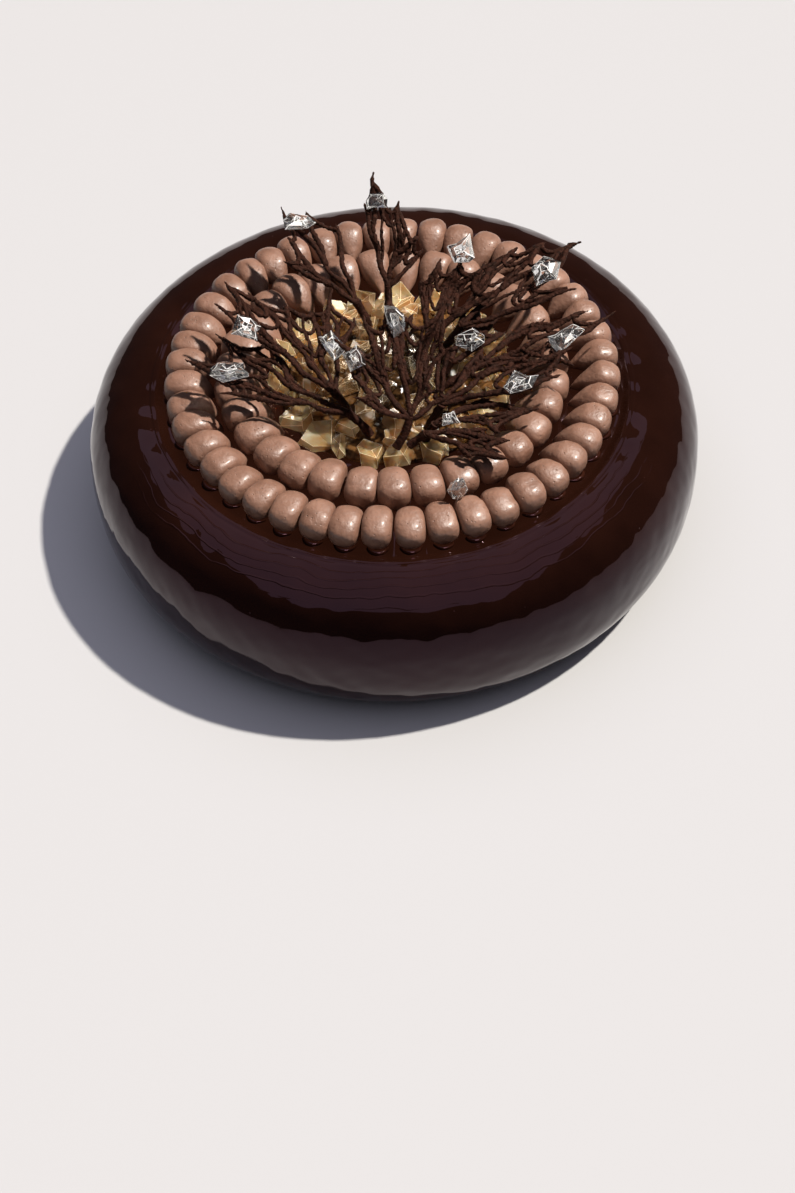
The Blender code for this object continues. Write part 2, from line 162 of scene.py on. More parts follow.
@dataclass
class Shape:
    """One surface, or several joined ones.

    Attributes:
        points: Places, one row each.
        quads: Point numbers of the four-sided faces.
        tris: Point numbers of the three-sided faces.
    """

    points: np.ndarray
    quads: np.ndarray
    tris: np.ndarray

    def volume(self) -> float:
        """Return six times the enclosed volume, positive where faces point outwards."""
        split = np.concatenate([self.quads[:, [0, 1, 2]], self.quads[:, [0, 2, 3]], self.tris])
        a, b, c = (self.points[split[:, i]] - self.points.mean(0) for i in range(3))
        return float(np.einsum("ij,ij->", a, np.cross(b, c)))

    def outwards(self) -> "Shape":
        """Return the shape with its faces turned so that they point outwards."""
        if self.volume() >= 0:
            return self
        return Shape(self.points, self.quads[:, ::-1], self.tris[:, ::-1])

    def moved(self, matrix: np.ndarray) -> "Shape":
        """Return the shape carried by a 4 by 4 matrix."""
        return Shape(self.points @ matrix[:3, :3].T + matrix[:3, 3], self.quads, self.tris)


def join(shapes: list[Shape]) -> Shape:
    """Return all shapes as one, by shifting each one's point numbers past the last."""
    starts = np.cumsum([0] + [len(s.points) for s in shapes[:-1]])
    return Shape(np.concatenate([s.points for s in shapes]),
                 np.concatenate([s.quads + n for s, n in zip(shapes, starts)]),
                 np.concatenate([s.tris + n for s, n in zip(shapes, starts)]))


def closed_rings(rings: np.ndarray, first: np.ndarray, last: np.ndarray) -> Shape:
    """Close a stack of rings into one surface.

    Quads join each ring to the next, and a fan of triangles joins the end
    rings to their poles.

    Args:
        rings: Points as (ring, side, 3).
        first: The pole before the first ring.
        last: The pole after the last ring.

    Returns:
        The closed shape, faces outwards.
    """
    count, sides = rings.shape[:2]
    number = np.arange(count * sides).reshape(count, sides)
    after = np.roll(number, -1, axis=1)
    quads = np.stack([number[:-1], after[:-1], after[1:], number[1:]], -1).reshape(-1, 4)
    poles = count * sides, count * sides + 1
    start = np.stack([np.full(sides, poles[0]), after[0], number[0]], -1)
    end = np.stack([np.full(sides, poles[1]), number[-1], after[-1]], -1)
    points = np.concatenate([rings.reshape(-1, 3), [first], [last]])
    return Shape(points, quads, np.concatenate([start, end])).outwards()


@dataclass(frozen=True)
class Strand:
    """A round section carried along a path.

    Attributes:
        sides: Corners of a section.
        pole: Direction that a section's first corner faces, less its part along
            the path.
        roughness: Height in metres of the fine lumps, or 0 for a smooth strand.
        lumps: The lumps' waves, as shares of that height.
    """

    sides: int
    pole: Triple
    roughness: float = 0.0
    lumps: tuple[Wave, ...] = (Wave(1.0, 0.0016, 0), Wave(0.6, 0.0008, 1))

    def along(self, path: np.ndarray, radius: np.ndarray, seed: int = 0) -> Shape:
        """Return the closed strand.

        Each section is a circle square to the path. The lumps move its points
        in and out.

        Args:
            path: Middle line, one row a section.
            radius: Radius at each section.
            seed: Seed of the lumps.

        Returns:
            The strand, faces outwards.
        """
        pole = np.array(self.pole)
        ahead = unit(np.gradient(path, axis=0))
        side = unit(pole - ahead * (ahead @ pole)[:, None])
        other = np.cross(ahead, side)
        turns = circle(self.sides)
        out = (np.cos(turns)[None, :, None] * side[:, None] +
               np.sin(turns)[None, :, None] * other[:, None])
        rings = path[:, None] + radius[:, None, None] * out
        if self.roughness:
            lumps = sum(wave.at(rings, seed) for wave in self.lumps)
            rings = rings + self.roughness * lumps[..., None] * out
        return closed_rings(rings, path[0], path[-1])


@dataclass(frozen=True)
class Fracture:
    """How set jelly breaks: into pieces with large uneven facets.

    Attributes:
        sides: Corners of the rim.
        reaches: Each ring's share of the rim's radius, from top to bottom.
        heights: Each ring's height over half the thickness.
        turn_shake: Share of a corner's even step by which it turns.
        rim_reach: Least and most radius of the rim.
        squareness: Power that draws the rim towards a square.
        reach_shake: Share by which a corner's radius changes.
        height_shake: Share of half the thickness by which a corner moves.
        pole: Place of the upper pole, as shares of the length and the width.
        pole_lift: Most height of the upper pole over half the thickness.
    """

    sides: int
    reaches: tuple[float, ...]
    heights: tuple[float, ...]
    turn_shake: float = 0.3
    rim_reach: Pair = (0.62, 1.10)
    squareness: float = 0.8
    reach_shake: float = 0.20
    height_shake: float = 0.45
    pole: Pair = (0.04, -0.05)
    pole_lift: float = 0.6

    def piece(self, size: Triple, seed: int) -> Shape:
        """Return one broken piece.

        Two dented faces meet in an irregular rim. A corner's distance from the
        axis is the rim's radius there times the ring's share, and its height is
        half the thickness times the ring's height, both shaken. The cloud of
        corners is then stretched to the size.

        Args:
            size: Full lengths along its axes.
            seed: Seed of the breaks.

        Returns:
            The closed piece about the origin.
        """
        draw = np.random.default_rng(seed)
        shake = draw.uniform(-self.turn_shake, self.turn_shake, self.sides)
        turn = circle(self.sides) + shake * FULL_TURN / self.sides
        square = np.maximum(np.abs(np.cos(turn)), np.abs(np.sin(turn)))
        rim = draw.uniform(*self.rim_reach, self.sides) / square ** self.squareness
        grid = len(self.reaches), self.sides
        reach = rim * np.array(self.reaches)[:, None]
        reach = reach * (1 + draw.uniform(-self.reach_shake, self.reach_shake, grid))
        lift = np.array(self.heights)[:, None]
        lift = lift + draw.uniform(-self.height_shake, self.height_shake, grid)
        cloud = np.stack([reach * np.cos(turn), reach * np.sin(turn), lift], -1)
        low, high = cloud.min((0, 1)), cloud.max((0, 1))
        cloud = (cloud - (low + high) / 2) / (high - low) * np.array(size)
        top = np.array([self.pole[0] * size[0], self.pole[1] * size[1],
                        size[2] / 2 * draw.uniform(0.0, self.pole_lift)])
        return closed_rings(cloud, top, -top)


BLOCK = Fracture(5, (0.86, 1.0, 0.90), (0.8, 0.0, -0.8))
FLAKE = Fracture(8, (0.36, 0.74, 1.0, 0.72, 0.38), (1.0, 0.7, 0.0, -0.7, -1.0))


def put_piece(name: str, shape: Shape, finish: "Finish", nodes: Iterable[str],
              smooth_angle: float, edge_width: float = 0.0,
              edge_highlight_finish: Optional["Finish"] = None) -> bpy.types.Object:
    """Put a shape into the scene as one piece that rides on the cake.

    Args:
        name: Name of the piece.
        shape: Its surface.
        finish: Its finish.
        nodes: CAD nodes that the piece stands for.
        smooth_angle: Edges sharper than this, in degrees, stay crisp.
        edge_width: Width in metres of a bevel along the crispest edges, or 0.
        edge_highlight_finish: Finish of that bevel, pale to paint highlights along the edges.

    Returns:
        The new object.
    """
    mesh = bpy.data.meshes.new(name)
    mesh.vertices.add(len(shape.points))
    mesh.vertices.foreach_set("co", shape.points.astype(np.float32).ravel())
    corners = np.concatenate([shape.quads.ravel(), shape.tris.ravel()]).astype(np.int32)
    mesh.loops.add(len(corners))
    mesh.loops.foreach_set("vertex_index", corners)
    starts = np.concatenate([np.arange(len(shape.quads)) * 4,
                             len(shape.quads) * 4 + np.arange(len(shape.tris)) * 3])
    mesh.polygons.add(len(starts))
    mesh.polygons.foreach_set("loop_start", starts.astype(np.int32))
    mesh.update(calc_edges=True)
    mesh.validate()
    mesh.shade_smooth()
    mesh.set_sharp_from_angle(angle=math.radians(smooth_angle))
    mesh.materials.append(finish.material())
    piece = bpy.data.objects.new(name, mesh)
    bpy.context.scene.collection.objects.link(piece)
    if edge_width:
        bevel = piece.modifiers.new("soft_edges", "BEVEL")
        bevel.width = edge_width
        bevel.segments = 1
        bevel.limit_method = "ANGLE"
        bevel.angle_limit = math.radians(EDGE_ANGLE)
        bevel.harden_normals = True
        # The bevel's pale finish paints highlights along the crisp edges
        mesh.materials.append(edge_highlight_finish.material())
        bevel.material = 1
    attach(piece, ROOT)
    nodes = list(nodes)
    if nodes:
        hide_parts(*nodes)
    faces = 2 * len(shape.quads) + len(shape.tris)
    LOG.info("%s: %d triangles, stands for %s", name, faces, ", ".join(nodes) or "nothing")
    return piece


# Shader work

# Sockets of a Mix node that mixes colours
MIX_SHARE, MIX_FIRST, MIX_SECOND, MIX_RESULT = 0, 6, 7, 2


class Socket(Enum):
    """Types of a node group's sockets."""

    VECTOR = "NodeSocketVector"
    COLOUR = "NodeSocketColor"
    FLOAT = "NodeSocketFloat"


class Net:
    """Adds nodes to a tree and joins them by socket names."""

    def __init__(self, tree: bpy.types.NodeTree) -> None:
        """Work on the tree given."""
        self.tree = tree

    def add(self, kind: str, inputs: Optional[dict] = None, **settings: object) -> bpy.types.Node:
        """Add a node, with its settings and with values or sources for its inputs.

        Args:
            kind: Blender's name of the node type.
            inputs: For each input, a value or a (node, output) pair.
            **settings: Properties of the node.

        Returns:
            The new node.
        """
        node = self.tree.nodes.new(kind)
        for key, value in settings.items():
            setattr(node, key, value)
        for key, value in (inputs or {}).items():
            if isinstance(value, tuple) and isinstance(value[0], bpy.types.Node):
                self.tree.links.new(value[0].outputs[value[1]], node.inputs[key])
            else:
                node.inputs[key].default_value = value
        return node

    def add_math(self, operation: str, *terms: object) -> bpy.types.Node:
        """Add a Math node with the terms given, each a value or a (node, output) pair."""
        return self.add("ShaderNodeMath", dict(enumerate(terms)), operation=operation)

    def add_radius(self, given: bpy.types.Node) -> tuple[bpy.types.Node, bpy.types.Node]:
        """Add the nodes that measure how far a place is from the cake's axis.

        Args:
            given: Node whose output Vector is the place.

        Returns:
            The node with the place's X, Y and Z, and the one with the distance
            as its Value.
        """
        parts = self.add("ShaderNodeSeparateXYZ", {"Vector": (given, "Vector")})
        flat = self.add("ShaderNodeCombineXYZ", {"X": (parts, "X"), "Y": (parts, "Y")})
        return parts, self.add("ShaderNodeVectorMath", {0: (flat, "Vector")}, operation="LENGTH")


def new_group(name: str, inputs: dict[str, Socket],
              outputs: dict[str, Socket]) -> tuple[Net, bpy.types.Node]:
    """Make an empty shader node group with typed sockets.

    Args:
        name: Name of the group.
        inputs: Socket type of each input.
        outputs: Socket type of each output.

    Returns:
        The Net of the group's tree, and the group's input node.
    """
    group = bpy.data.node_groups.new(name, "ShaderNodeTree")
    for key, kind in inputs.items():
        group.interface.new_socket(name=key, in_out="INPUT", socket_type=kind.value)
    for key, kind in outputs.items():
        group.interface.new_socket(name=key, in_out="OUTPUT", socket_type=kind.value)
    net = Net(group)
    return net, net.add("NodeGroupInput")


@dataclass
class Effects:
    """The shader effects that several finishes share, each built once.

    Attributes:
        cloud: Noise values between which two colours mix.
        wrinkle_gap: Metres from one ripple of the crest to the next.
        wrinkle_sine: Sine from which a ripple shows.
        wrinkle_sway: Metres over which noise moves a ripple.
        wrinkle_begin: Radii between which the ripples begin.
        wrinkle_end: Radii between which they end, the outer one first.
        wrinkle_front: Places along Y between which they begin.
    """

    cloud: Pair = (0.33, 0.67)
    wrinkle_gap: float = 0.0024
    wrinkle_sine: float = 0.80
    wrinkle_sway: float = 0.008
    wrinkle_begin: Pair = (0.0712, 0.0722)
    wrinkle_end: Pair = (0.0825, 0.0800)
    wrinkle_front: Pair = (-0.025, -0.050)

    @cached_property
    def mottle(self) -> bpy.types.NodeTree:
        """Return the group that drifts between two colours by cloudy noise."""
        net, given = new_group(
            "mottle", {"Vector": Socket.VECTOR, "Scale": Socket.FLOAT, "Dark": Socket.COLOUR,
                       "Light": Socket.COLOUR},
            {"Color": Socket.COLOUR, "Value": Socket.FLOAT})
        noise = net.add("ShaderNodeTexNoise", {
            "Vector": (given, "Vector"), "Scale": (given, "Scale"), "Detail": 4.0,
            "Roughness": 0.55})
        spread = net.add("ShaderNodeMapRange", {
            "Value": (noise, "Fac"), "From Min": self.cloud[0], "From Max": self.cloud[1]})
        blend = net.add("ShaderNodeMix", {
            MIX_SHARE: (spread, "Result"), MIX_FIRST: (given, "Dark"),
            MIX_SECOND: (given, "Light")}, data_type="RGBA")
        net.add("NodeGroupOutput", {"Color": (blend, MIX_RESULT), "Value": (spread, "Result")})
        return net.tree

    @cached_property
    def specks(self) -> bpy.types.NodeTree:
        """Return the group that marks sparse round dots, 1 inside and 0 outside.

        A dot is where the distance to the nearest random centre is below the
        size, and only centres whose random value is below the share count.
        """
        net, given = new_group(
            "specks", {"Vector": Socket.VECTOR, "Scale": Socket.FLOAT, "Size": Socket.FLOAT,
                       "Share": Socket.FLOAT},
            {"Mask": Socket.FLOAT})
        cells = net.add("ShaderNodeTexVoronoi", {
            "Vector": (given, "Vector"), "Scale": (given, "Scale")})
        inside = net.add("ShaderNodeMapRange", {
            "Value": (cells, "Distance"), "From Min": 0.0, "From Max": (given, "Size"),
            "To Min": 1.0, "To Max": 0.0})
        parts = net.add("ShaderNodeSeparateColor", {"Color": (cells, "Color")})
        chosen = net.add_math("LESS_THAN", (parts, 0), (given, "Share"))
        both = net.add_math("MULTIPLY", (inside, "Result"), (chosen, 0))
        net.add("NodeGroupOutput", {"Mask": (both, 0)})
        return net.tree

    @cached_property
    def depth(self) -> bpy.types.NodeTree:
        """Return the group that paints shade, darkening a colour towards the cake's axis.

        The colour is scaled by a share that runs from the least one at the
        inner radius to one at the outer radius.
        """
        net, given = new_group(
            "depth", {"Vector": Socket.VECTOR, "Color": Socket.COLOUR, "Inner": Socket.FLOAT,
                      "Outer": Socket.FLOAT, "Least": Socket.FLOAT},
            {"Color": Socket.COLOUR})
        _, radius = net.add_radius(given)
        share = net.add("ShaderNodeMapRange", {
            "Value": (radius, "Value"), "From Min": (given, "Inner"),
            "From Max": (given, "Outer"), "To Min": (given, "Least"), "To Max": 1.0})
        scaled = net.add("ShaderNodeVectorMath", {
            0: (given, "Color"), "Scale": (share, "Result")}, operation="SCALE")
        net.add("NodeGroupOutput", {"Color": (scaled, "Vector")})
        return net.tree

    @cached_property
    def wrinkles(self) -> bpy.types.NodeTree:
        """Return the group that marks fine ripples in the front of the glaze's crest.

        With r the distance from the axis shifted by cloudy noise, a ripple
        runs where the sine of r over the gap is near one. Two ramps of the
        distance and one of y end them.
        """
        net, given = new_group(
            "wrinkles", {"Vector": Socket.VECTOR}, {"Mask": Socket.FLOAT})
        parts, radius = net.add_radius(given)
        noise = net.add("ShaderNodeTexNoise", {
            "Vector": (given, "Vector"), "Scale": 42.0, "Detail": 3.0})
        shift = net.add_math("MULTIPLY_ADD", (noise, "Fac"), self.wrinkle_sway,
                             -self.wrinkle_sway / 2)
        place = net.add_math("ADD", (radius, "Value"), (shift, 0))
        phase = net.add_math("MULTIPLY", (place, 0), FULL_TURN / self.wrinkle_gap)
        sine = net.add_math("SINE", (phase, 0))
        mask = net.add("ShaderNodeMapRange", {
            "Value": (sine, 0), "From Min": self.wrinkle_sine, "From Max": 1.0})
        for source, limits in (((radius, "Value"), self.wrinkle_begin),
                               ((radius, "Value"), self.wrinkle_end),
                               ((parts, "Y"), self.wrinkle_front)):
            ramp = net.add("ShaderNodeMapRange", {
                "Value": source, "From Min": limits[0], "From Max": limits[1]})
            mask = net.add_math("MULTIPLY", (mask, 0), (ramp, "Result"))
        net.add("NodeGroupOutput", {"Mask": (mask, 0)})
        return net.tree


EFFECTS = Effects()


@dataclass(frozen=True)
class Grain:
    """Fine bump all over a finish.

    Attributes:
        scale: Grains per metre.
        height: Their height in metres.
    """

    scale: float
    height: float


@dataclass(frozen=True)
class Specks:
    """Small dots in a finish.

    Attributes:
        scale: Dots per metre.
        size: Size of a dot over the distance between two.
        share: Share of the dots that show.
        depth: How far they are sunk in metres, negative where they stand proud.
        colour: Their colour.
    """

    scale: float
    size: float
    share: float
    depth: float
    colour: Colour


@dataclass(frozen=True)
class PaintedShade:
    """Painted shade: jelly darkened towards the axis, where the lace fans shade the middle of the
    heap.

    Attributes:
        inner: Distance from the axis at which it is darkest.
        outer: Distance at which it has its full colour.
        least: Share of the colour that is left at the inner distance.
    """

    inner: float
    outer: float
    least: float


@dataclass(frozen=True)
class Finish:
    """One procedural finish.

    Attributes:
        name: Name of its material.
        dark: Colour of its darker patches.
        light: Colour of its lighter patches.
        patch: Patches per metre.
        roughness: Least and most roughness.
        grain: Its fine bump.
        specks: Its dots.
        sockets: Plain values set on the shader.
        wrinkle: Height in metres of the ripples on the crest, or 0.
        painted_shade: Where it is darkened towards the axis as painted shade, or None.
    """

    name: str
    dark: Colour
    light: Colour
    patch: float
    roughness: Pair
    grain: Grain
    specks: Specks
    sockets: dict[str, object] = field(default_factory=dict)
    wrinkle: float = 0.0
    painted_shade: Optional[PaintedShade] = None

    def height(self, net: Net, place: tuple, dots: bpy.types.Node) -> tuple:
        """Add the nodes of the bump's height: grain, less dots, plus ripples.

        Args:
            net: Net of the material.
            place: The (node, output) pair of the object coordinates.
            dots: Node that marks the dots.

        Returns:
            The (node, output) pair of the height.
        """
        grain = net.add("ShaderNodeTexNoise", {
            "Vector": place, "Scale": self.grain.scale, "Detail": 3.0})
        raised = net.add_math("MULTIPLY", (grain, "Fac"), self.grain.height)
        sunk = net.add_math("MULTIPLY", (dots, "Mask"), -self.specks.depth)
        height = net.add_math("ADD", (raised, 0), (sunk, 0))
        if self.wrinkle:
            lines = net.add("ShaderNodeGroup", {"Vector": place}, node_tree=EFFECTS.wrinkles)
            height = net.add_math("MULTIPLY_ADD", (lines, "Mask"), self.wrinkle, (height, 0))
        return height, 0

    def material(self) -> bpy.types.Material:
        """Return the material, building it the first time."""
        found = bpy.data.materials.get(self.name)
        if found:
            return found
        material = bpy.data.materials.new(self.name)
        material.use_nodes = True
        material.node_tree.nodes.clear()
        net = Net(material.node_tree)
        place = net.add("ShaderNodeTexCoord"), "Object"
        clouds = net.add("ShaderNodeGroup", {
            "Vector": place, "Scale": self.patch, "Dark": (*self.dark, 1.0),
            "Light": (*self.light, 1.0)}, node_tree=EFFECTS.mottle)
        dots = net.add("ShaderNodeGroup", {
            "Vector": place, "Scale": self.specks.scale, "Size": self.specks.size,
            "Share": self.specks.share}, node_tree=EFFECTS.specks)
        tint = net.add("ShaderNodeMix", {
            MIX_SHARE: (dots, "Mask"), MIX_FIRST: (clouds, "Color"),
            MIX_SECOND: (*self.specks.colour, 1.0)}, data_type="RGBA")
        colour = tint, MIX_RESULT
        # Painted shade: darken the colour towards the cake's axis
        if self.painted_shade:
            colour = net.add("ShaderNodeGroup", {
                "Vector": place, "Color": colour, "Inner": self.painted_shade.inner,
                "Outer": self.painted_shade.outer, "Least": self.painted_shade.least},
                node_tree=EFFECTS.depth), "Color"
        rough = net.add("ShaderNodeMapRange", {
            "Value": (clouds, "Value"), "To Min": self.roughness[0],
            "To Max": self.roughness[1]})
        bump = net.add("ShaderNodeBump", {
            "Height": self.height(net, place, dots), "Strength": 1.0, "Distance": 1.0})
        shader = net.add("ShaderNodeBsdfPrincipled", {
            "Base Color": colour, "Roughness": (rough, "Result"), "Normal": (bump, "Normal"),
            **self.sockets})
        net.add("ShaderNodeOutputMaterial", {"Surface": (shader, "BSDF")})
        return material


# Painted shade over the middle of the heap, under the lace fans
JELLY_PAINTED_SHADE = PaintedShade(0.009, 0.029, 0.26)

GLAZE = Finish(
    "mirror_glaze", (0.0075, 0.0023, 0.0013), (0.0125, 0.0038, 0.0021), 35, (0.015, 0.035),
    Grain(110, 0.00004), Specks(420, 0.10, 0.10, 0.00005, (0.030, 0.012, 0.008)),
    {"IOR": 1.45, "Specular IOR Level": 0.32, "Specular Tint": (1.0, 0.60, 0.78, 1.0)},
    wrinkle=0.00007)
# Its dots are sunk pits, coloured darker as painted shade in them
GANACHE = Finish(
    "milk_ganache", (0.178, 0.088, 0.057), (0.262, 0.136, 0.091), 190, (0.46, 0.58),
    Grain(900, 0.00022), Specks(820, 0.22, 0.45, 0.00018, (0.150, 0.080, 0.052)),
    {"IOR": 1.45, "Specular IOR Level": 0.85, "Coat Weight": 0.25, "Coat Roughness": 0.22,
     "Coat IOR": 1.45, "Subsurface Weight": 0.06, "Subsurface Radius": (1.0, 0.45, 0.25),
     "Subsurface Scale": 0.0015})
JELLY = Finish(
    "chopped_jelly", (0.990, 0.510, 0.170), (1.0, 0.840, 0.540), 230, (0.02, 0.05),
    Grain(420, 0.00003), Specks(700, 0.10, 0.10, 0.00002, (0.990, 0.940, 0.800)),
    {"IOR": 1.36, "Transmission Weight": 0.58, "Alpha": 0.54, "Coat Weight": 1.0,
     "Coat Roughness": 0.09, "Coat IOR": 1.7, "Subsurface Weight": 1.0,
     "Subsurface Radius": (0.7, 0.8, 1.0), "Subsurface Scale": 0.002},
    painted_shade=JELLY_PAINTED_SHADE)
# Bevels of the chunks' edges: paler and opaque, painted highlights along the edges
JELLY_EDGE_HIGHLIGHT = Finish(
    "jelly_edge_highlight", (0.680, 0.420, 0.200), (0.990, 0.880, 0.660), 420, (0.25, 0.40),
    Grain(600, 0.0), Specks(900, 0.10, 0.0, 0.0, (0.960, 0.840, 0.600)),
    {"IOR": 1.45, "Specular IOR Level": 0.8}, painted_shade=JELLY_PAINTED_SHADE)
# The bed is dark brown, painted shade between the chunks in place of the jelly's amber
SHADED_BED = Finish(
    "jelly_bed_painted_shade", (0.012, 0.0045, 0.0015), (0.190, 0.088, 0.028), 420, (0.08, 0.20),
    Grain(500, 0.0003), Specks(600, 0.15, 0.10, 0.0001, (0.420, 0.270, 0.120)),
    {"IOR": 1.37}, painted_shade=JELLY_PAINTED_SHADE)
LACE = Finish(
    "piped_lace", (0.0045, 0.0017, 0.0012), (0.0380, 0.0138, 0.0090), 800, (0.62, 0.80),
    Grain(1500, 0.00045), Specks(1300, 0.30, 0.30, -0.00014, (0.075, 0.032, 0.023)),
    {"IOR": 1.45, "Specular IOR Level": 0.22, "Specular Tint": (1.0, 0.60, 0.48, 1.0)})
CLEAR = Finish(
    "shard_jelly", (0.990, 0.985, 0.960), (1.0, 1.0, 1.0), 300, (0.00, 0.004),
    Grain(700, 0.0), Specks(900, 0.10, 0.0, 0.0, (0.995, 0.995, 0.990)),
    {"IOR": 1.44, "Transmission Weight": 1.0, "Coat Weight": 1.0, "Coat Roughness": 0.26,
     "Coat IOR": 1.8})
# Bevels of the shards' edges: pale grey and opaque, painted highlights along the edges
CLEAR_EDGE_HIGHLIGHT = Finish(
    "shard_edge_highlight", (0.620, 0.620, 0.630), (0.960, 0.955, 0.940), 500, (0.25, 0.40),
    Grain(600, 0.0), Specks(900, 0.10, 0.0, 0.0, (0.960, 0.955, 0.940)),
    {"IOR": 1.45, "Specular IOR Level": 0.8})


# The glazed body


@dataclass
class GlazedBody:
    """The moulded cake under its mirror glaze, one turned surface.

    Attributes:
        radius: Radius at the side.
        height: Height of the crest.
        fullness: Power of the side's superellipse.
        sink: How far the side's lowest round lies under the foot's plane.
        foot_edge: Height over which the side begins.
        foot: For each round of the foot, how far it lies inside the side's
            first round, and its height.
        dish_radius: Radius of the dish floor in its top.
        floor_radii: Radii of the rounds on that floor.
        lip: Width of the slope from the crest to the floor.
        depth: Depth of the dish.
        side_waves: How the glaze flowed down the side.
        side_begin: Heights between which that begins.
        lip_wave: Unevenness of the glaze at the lip.
        lip_drop: How far the lip lies lower.
        lip_begin: Radii between which that begins.
        lip_end: Radii between which it ends.
        shoulder_wave: Unevenness of the shoulder outside the lip.
        shoulder_begin: Radii between which that begins.
        top_from: Height over which a round belongs to the top.
        crease_radius: Radius of the shallow crease round the drops.
        crease_width: Half its width.
        crease_depth: Its depth.
        turns: Sections round the axis.
        side_steps: Points up the side.
        lip_steps: Points down the lip.
    """

    radius: float = 0.0900
    height: float = 0.0475
    fullness: float = 2.45
    sink: float = 0.0009
    foot_edge: float = 0.0004
    foot: tuple[Pair, ...] = ((0.0034, 0.0), (0.0009, 0.00012))
    dish_radius: float = 0.0658
    floor_radii: tuple[float, ...] = (0.06, 0.05, 0.04, 0.02, 0.01)
    lip: float = 0.0040
    depth: float = 0.0013
    side_waves: tuple[Wave, ...] = (Wave(0.00012, 0.045, 11), Wave(0.00006, 0.012, 12),
                                    Wave(0.000042, 0.0060, 14))
    side_begin: Pair = (0.003, 0.012)
    lip_wave: Wave = Wave(0.00012, 0.009, 13)
    lip_drop: float = 0.00010
    lip_begin: Pair = (0.0640, 0.0680)
    lip_end: Pair = (0.0712, 0.0748)
    shoulder_wave: Wave = Wave(0.00008, 0.0070, 15)
    shoulder_begin: Pair = (0.0740, 0.0780)
    top_from: float = 0.03
    crease_radius: float = 0.0696
    crease_width: float = 0.0006
    crease_depth: float = 0.00024
    turns: int = 384
    side_steps: int = 110
    lip_steps: int = 22

    @property
    def floor(self) -> float:
        """Height of the dish floor."""
        return self.height - self.depth

    def profile(self) -> np.ndarray:
        """Return the outline from foot to dish.

        The side is a superellipse, (r/a)^n + (z/a)^n = 1. The lip is half a
        cosine wave.

        Returns:
            Rows of radius and height.
        """
        half = self.height / 2
        angle = np.linspace(-math.pi / 2, math.pi / 2, self.side_steps * 2 + 1)[1::2]
        power = 2 / self.fullness
        radius = self.radius - half + half * np.cos(angle) ** power
        rise = (half + self.sink / 2) * np.sign(np.sin(angle)) * np.abs(np.sin(angle)) ** power
        height = half + rise - self.sink / 2
        crest = self.dish_radius + self.lip
        keep = (height > self.foot_edge) & ((radius > crest) | (height < half))
        side = np.stack([radius[keep], height[keep]], 1)
        foot = [[side[0, 0] - inset, rise] for inset, rise in self.foot]
        share = np.linspace(0, 1, self.lip_steps)
        slope = np.stack([crest - self.lip * share,
                          self.height - self.depth * (1 - np.cos(math.pi * share)) / 2], 1)
        inner = [[radius, self.floor] for radius in self.floor_radii]
        return np.concatenate([foot, side, slope, inner])

    def build(self) -> Shape:
        """Turn the outline round the axis and let the glaze flow unevenly.

        The side moves inwards by the size of its waves. The lip, the shoulder
        and the crease move up or down, the crease by a bell curve of the
        radius.

        Returns:
            The closed body.
        """
        outline = self.profile()
        turn = circle(self.turns)
        out = np.stack([np.cos(turn), np.sin(turn)], -1)
        rings = np.concatenate([outline[:, :1, None] * out,
                                np.broadcast_to(outline[:, 1:, None],
                                                (len(outline), self.turns, 1))], -1)
        radius, height = outline.T
        on_top = height > self.top_from
        flow = sum(wave.at(rings) for wave in self.side_waves)
        flow = flow * smooth_step(height, *self.side_begin)[:, None]
        rings[..., :2] -= np.abs(flow)[..., None] * out
        near_lip = smooth_step(radius, *self.lip_begin) * (1 - smooth_step(radius, *self.lip_end))
        rings[..., 2] += (near_lip * on_top)[:, None] * (self.lip_wave.at(rings) - self.lip_drop)
        shoulder = smooth_step(radius, *self.shoulder_begin) * on_top
        rings[..., 2] += shoulder[:, None] * self.shoulder_wave.at(rings)
        crease = np.exp(-((radius - self.crease_radius) / self.crease_width) ** 2) * on_top
        rings[..., 2] -= (self.crease_depth * crease)[:, None]
        return closed_rings(rings, np.zeros(3), np.array([0.0, 0.0, self.floor]))

    def dress(self) -> None:
        """Put the body into the scene."""
        put_piece("glazed_body", self.build(), GLAZE, ["cake_body"], 60)


# Height that everything on the dish floor stands at
FLOOR = GlazedBody().floor


# The piped drops


@dataclass(frozen=True)
class Taper:
    """How a drop narrows towards its two ends.

    Attributes:
        bulb: Power of the quarter circle towards the bulb's end.
        inner: Power a of (1 - s^a)^b towards the tip, and what bluntness adds.
        outer: Power b of it, and what bluntness adds.
    """

    bulb: float
    inner: Pair
    outer: Pair

    def at(self, turn: np.ndarray, blunt: float) -> np.ndarray:
        """Return the share of the full size.

        Args:
            turn: Places from 0, the bulb's end, to pi, the tip.
            blunt: From 0, a pointed tail, to 1, a blunt one.

        Returns:
            One share for each place.
        """
        behind = np.clip(-np.cos(turn), 0, 1)
        inner = self.inner[0] + self.inner[1] * blunt
        outer = self.outer[0] + self.outer[1] * blunt
        return np.where(turn < math.pi / 2, np.sin(turn) ** self.bulb,
                        (1 - behind ** inner) ** outer)


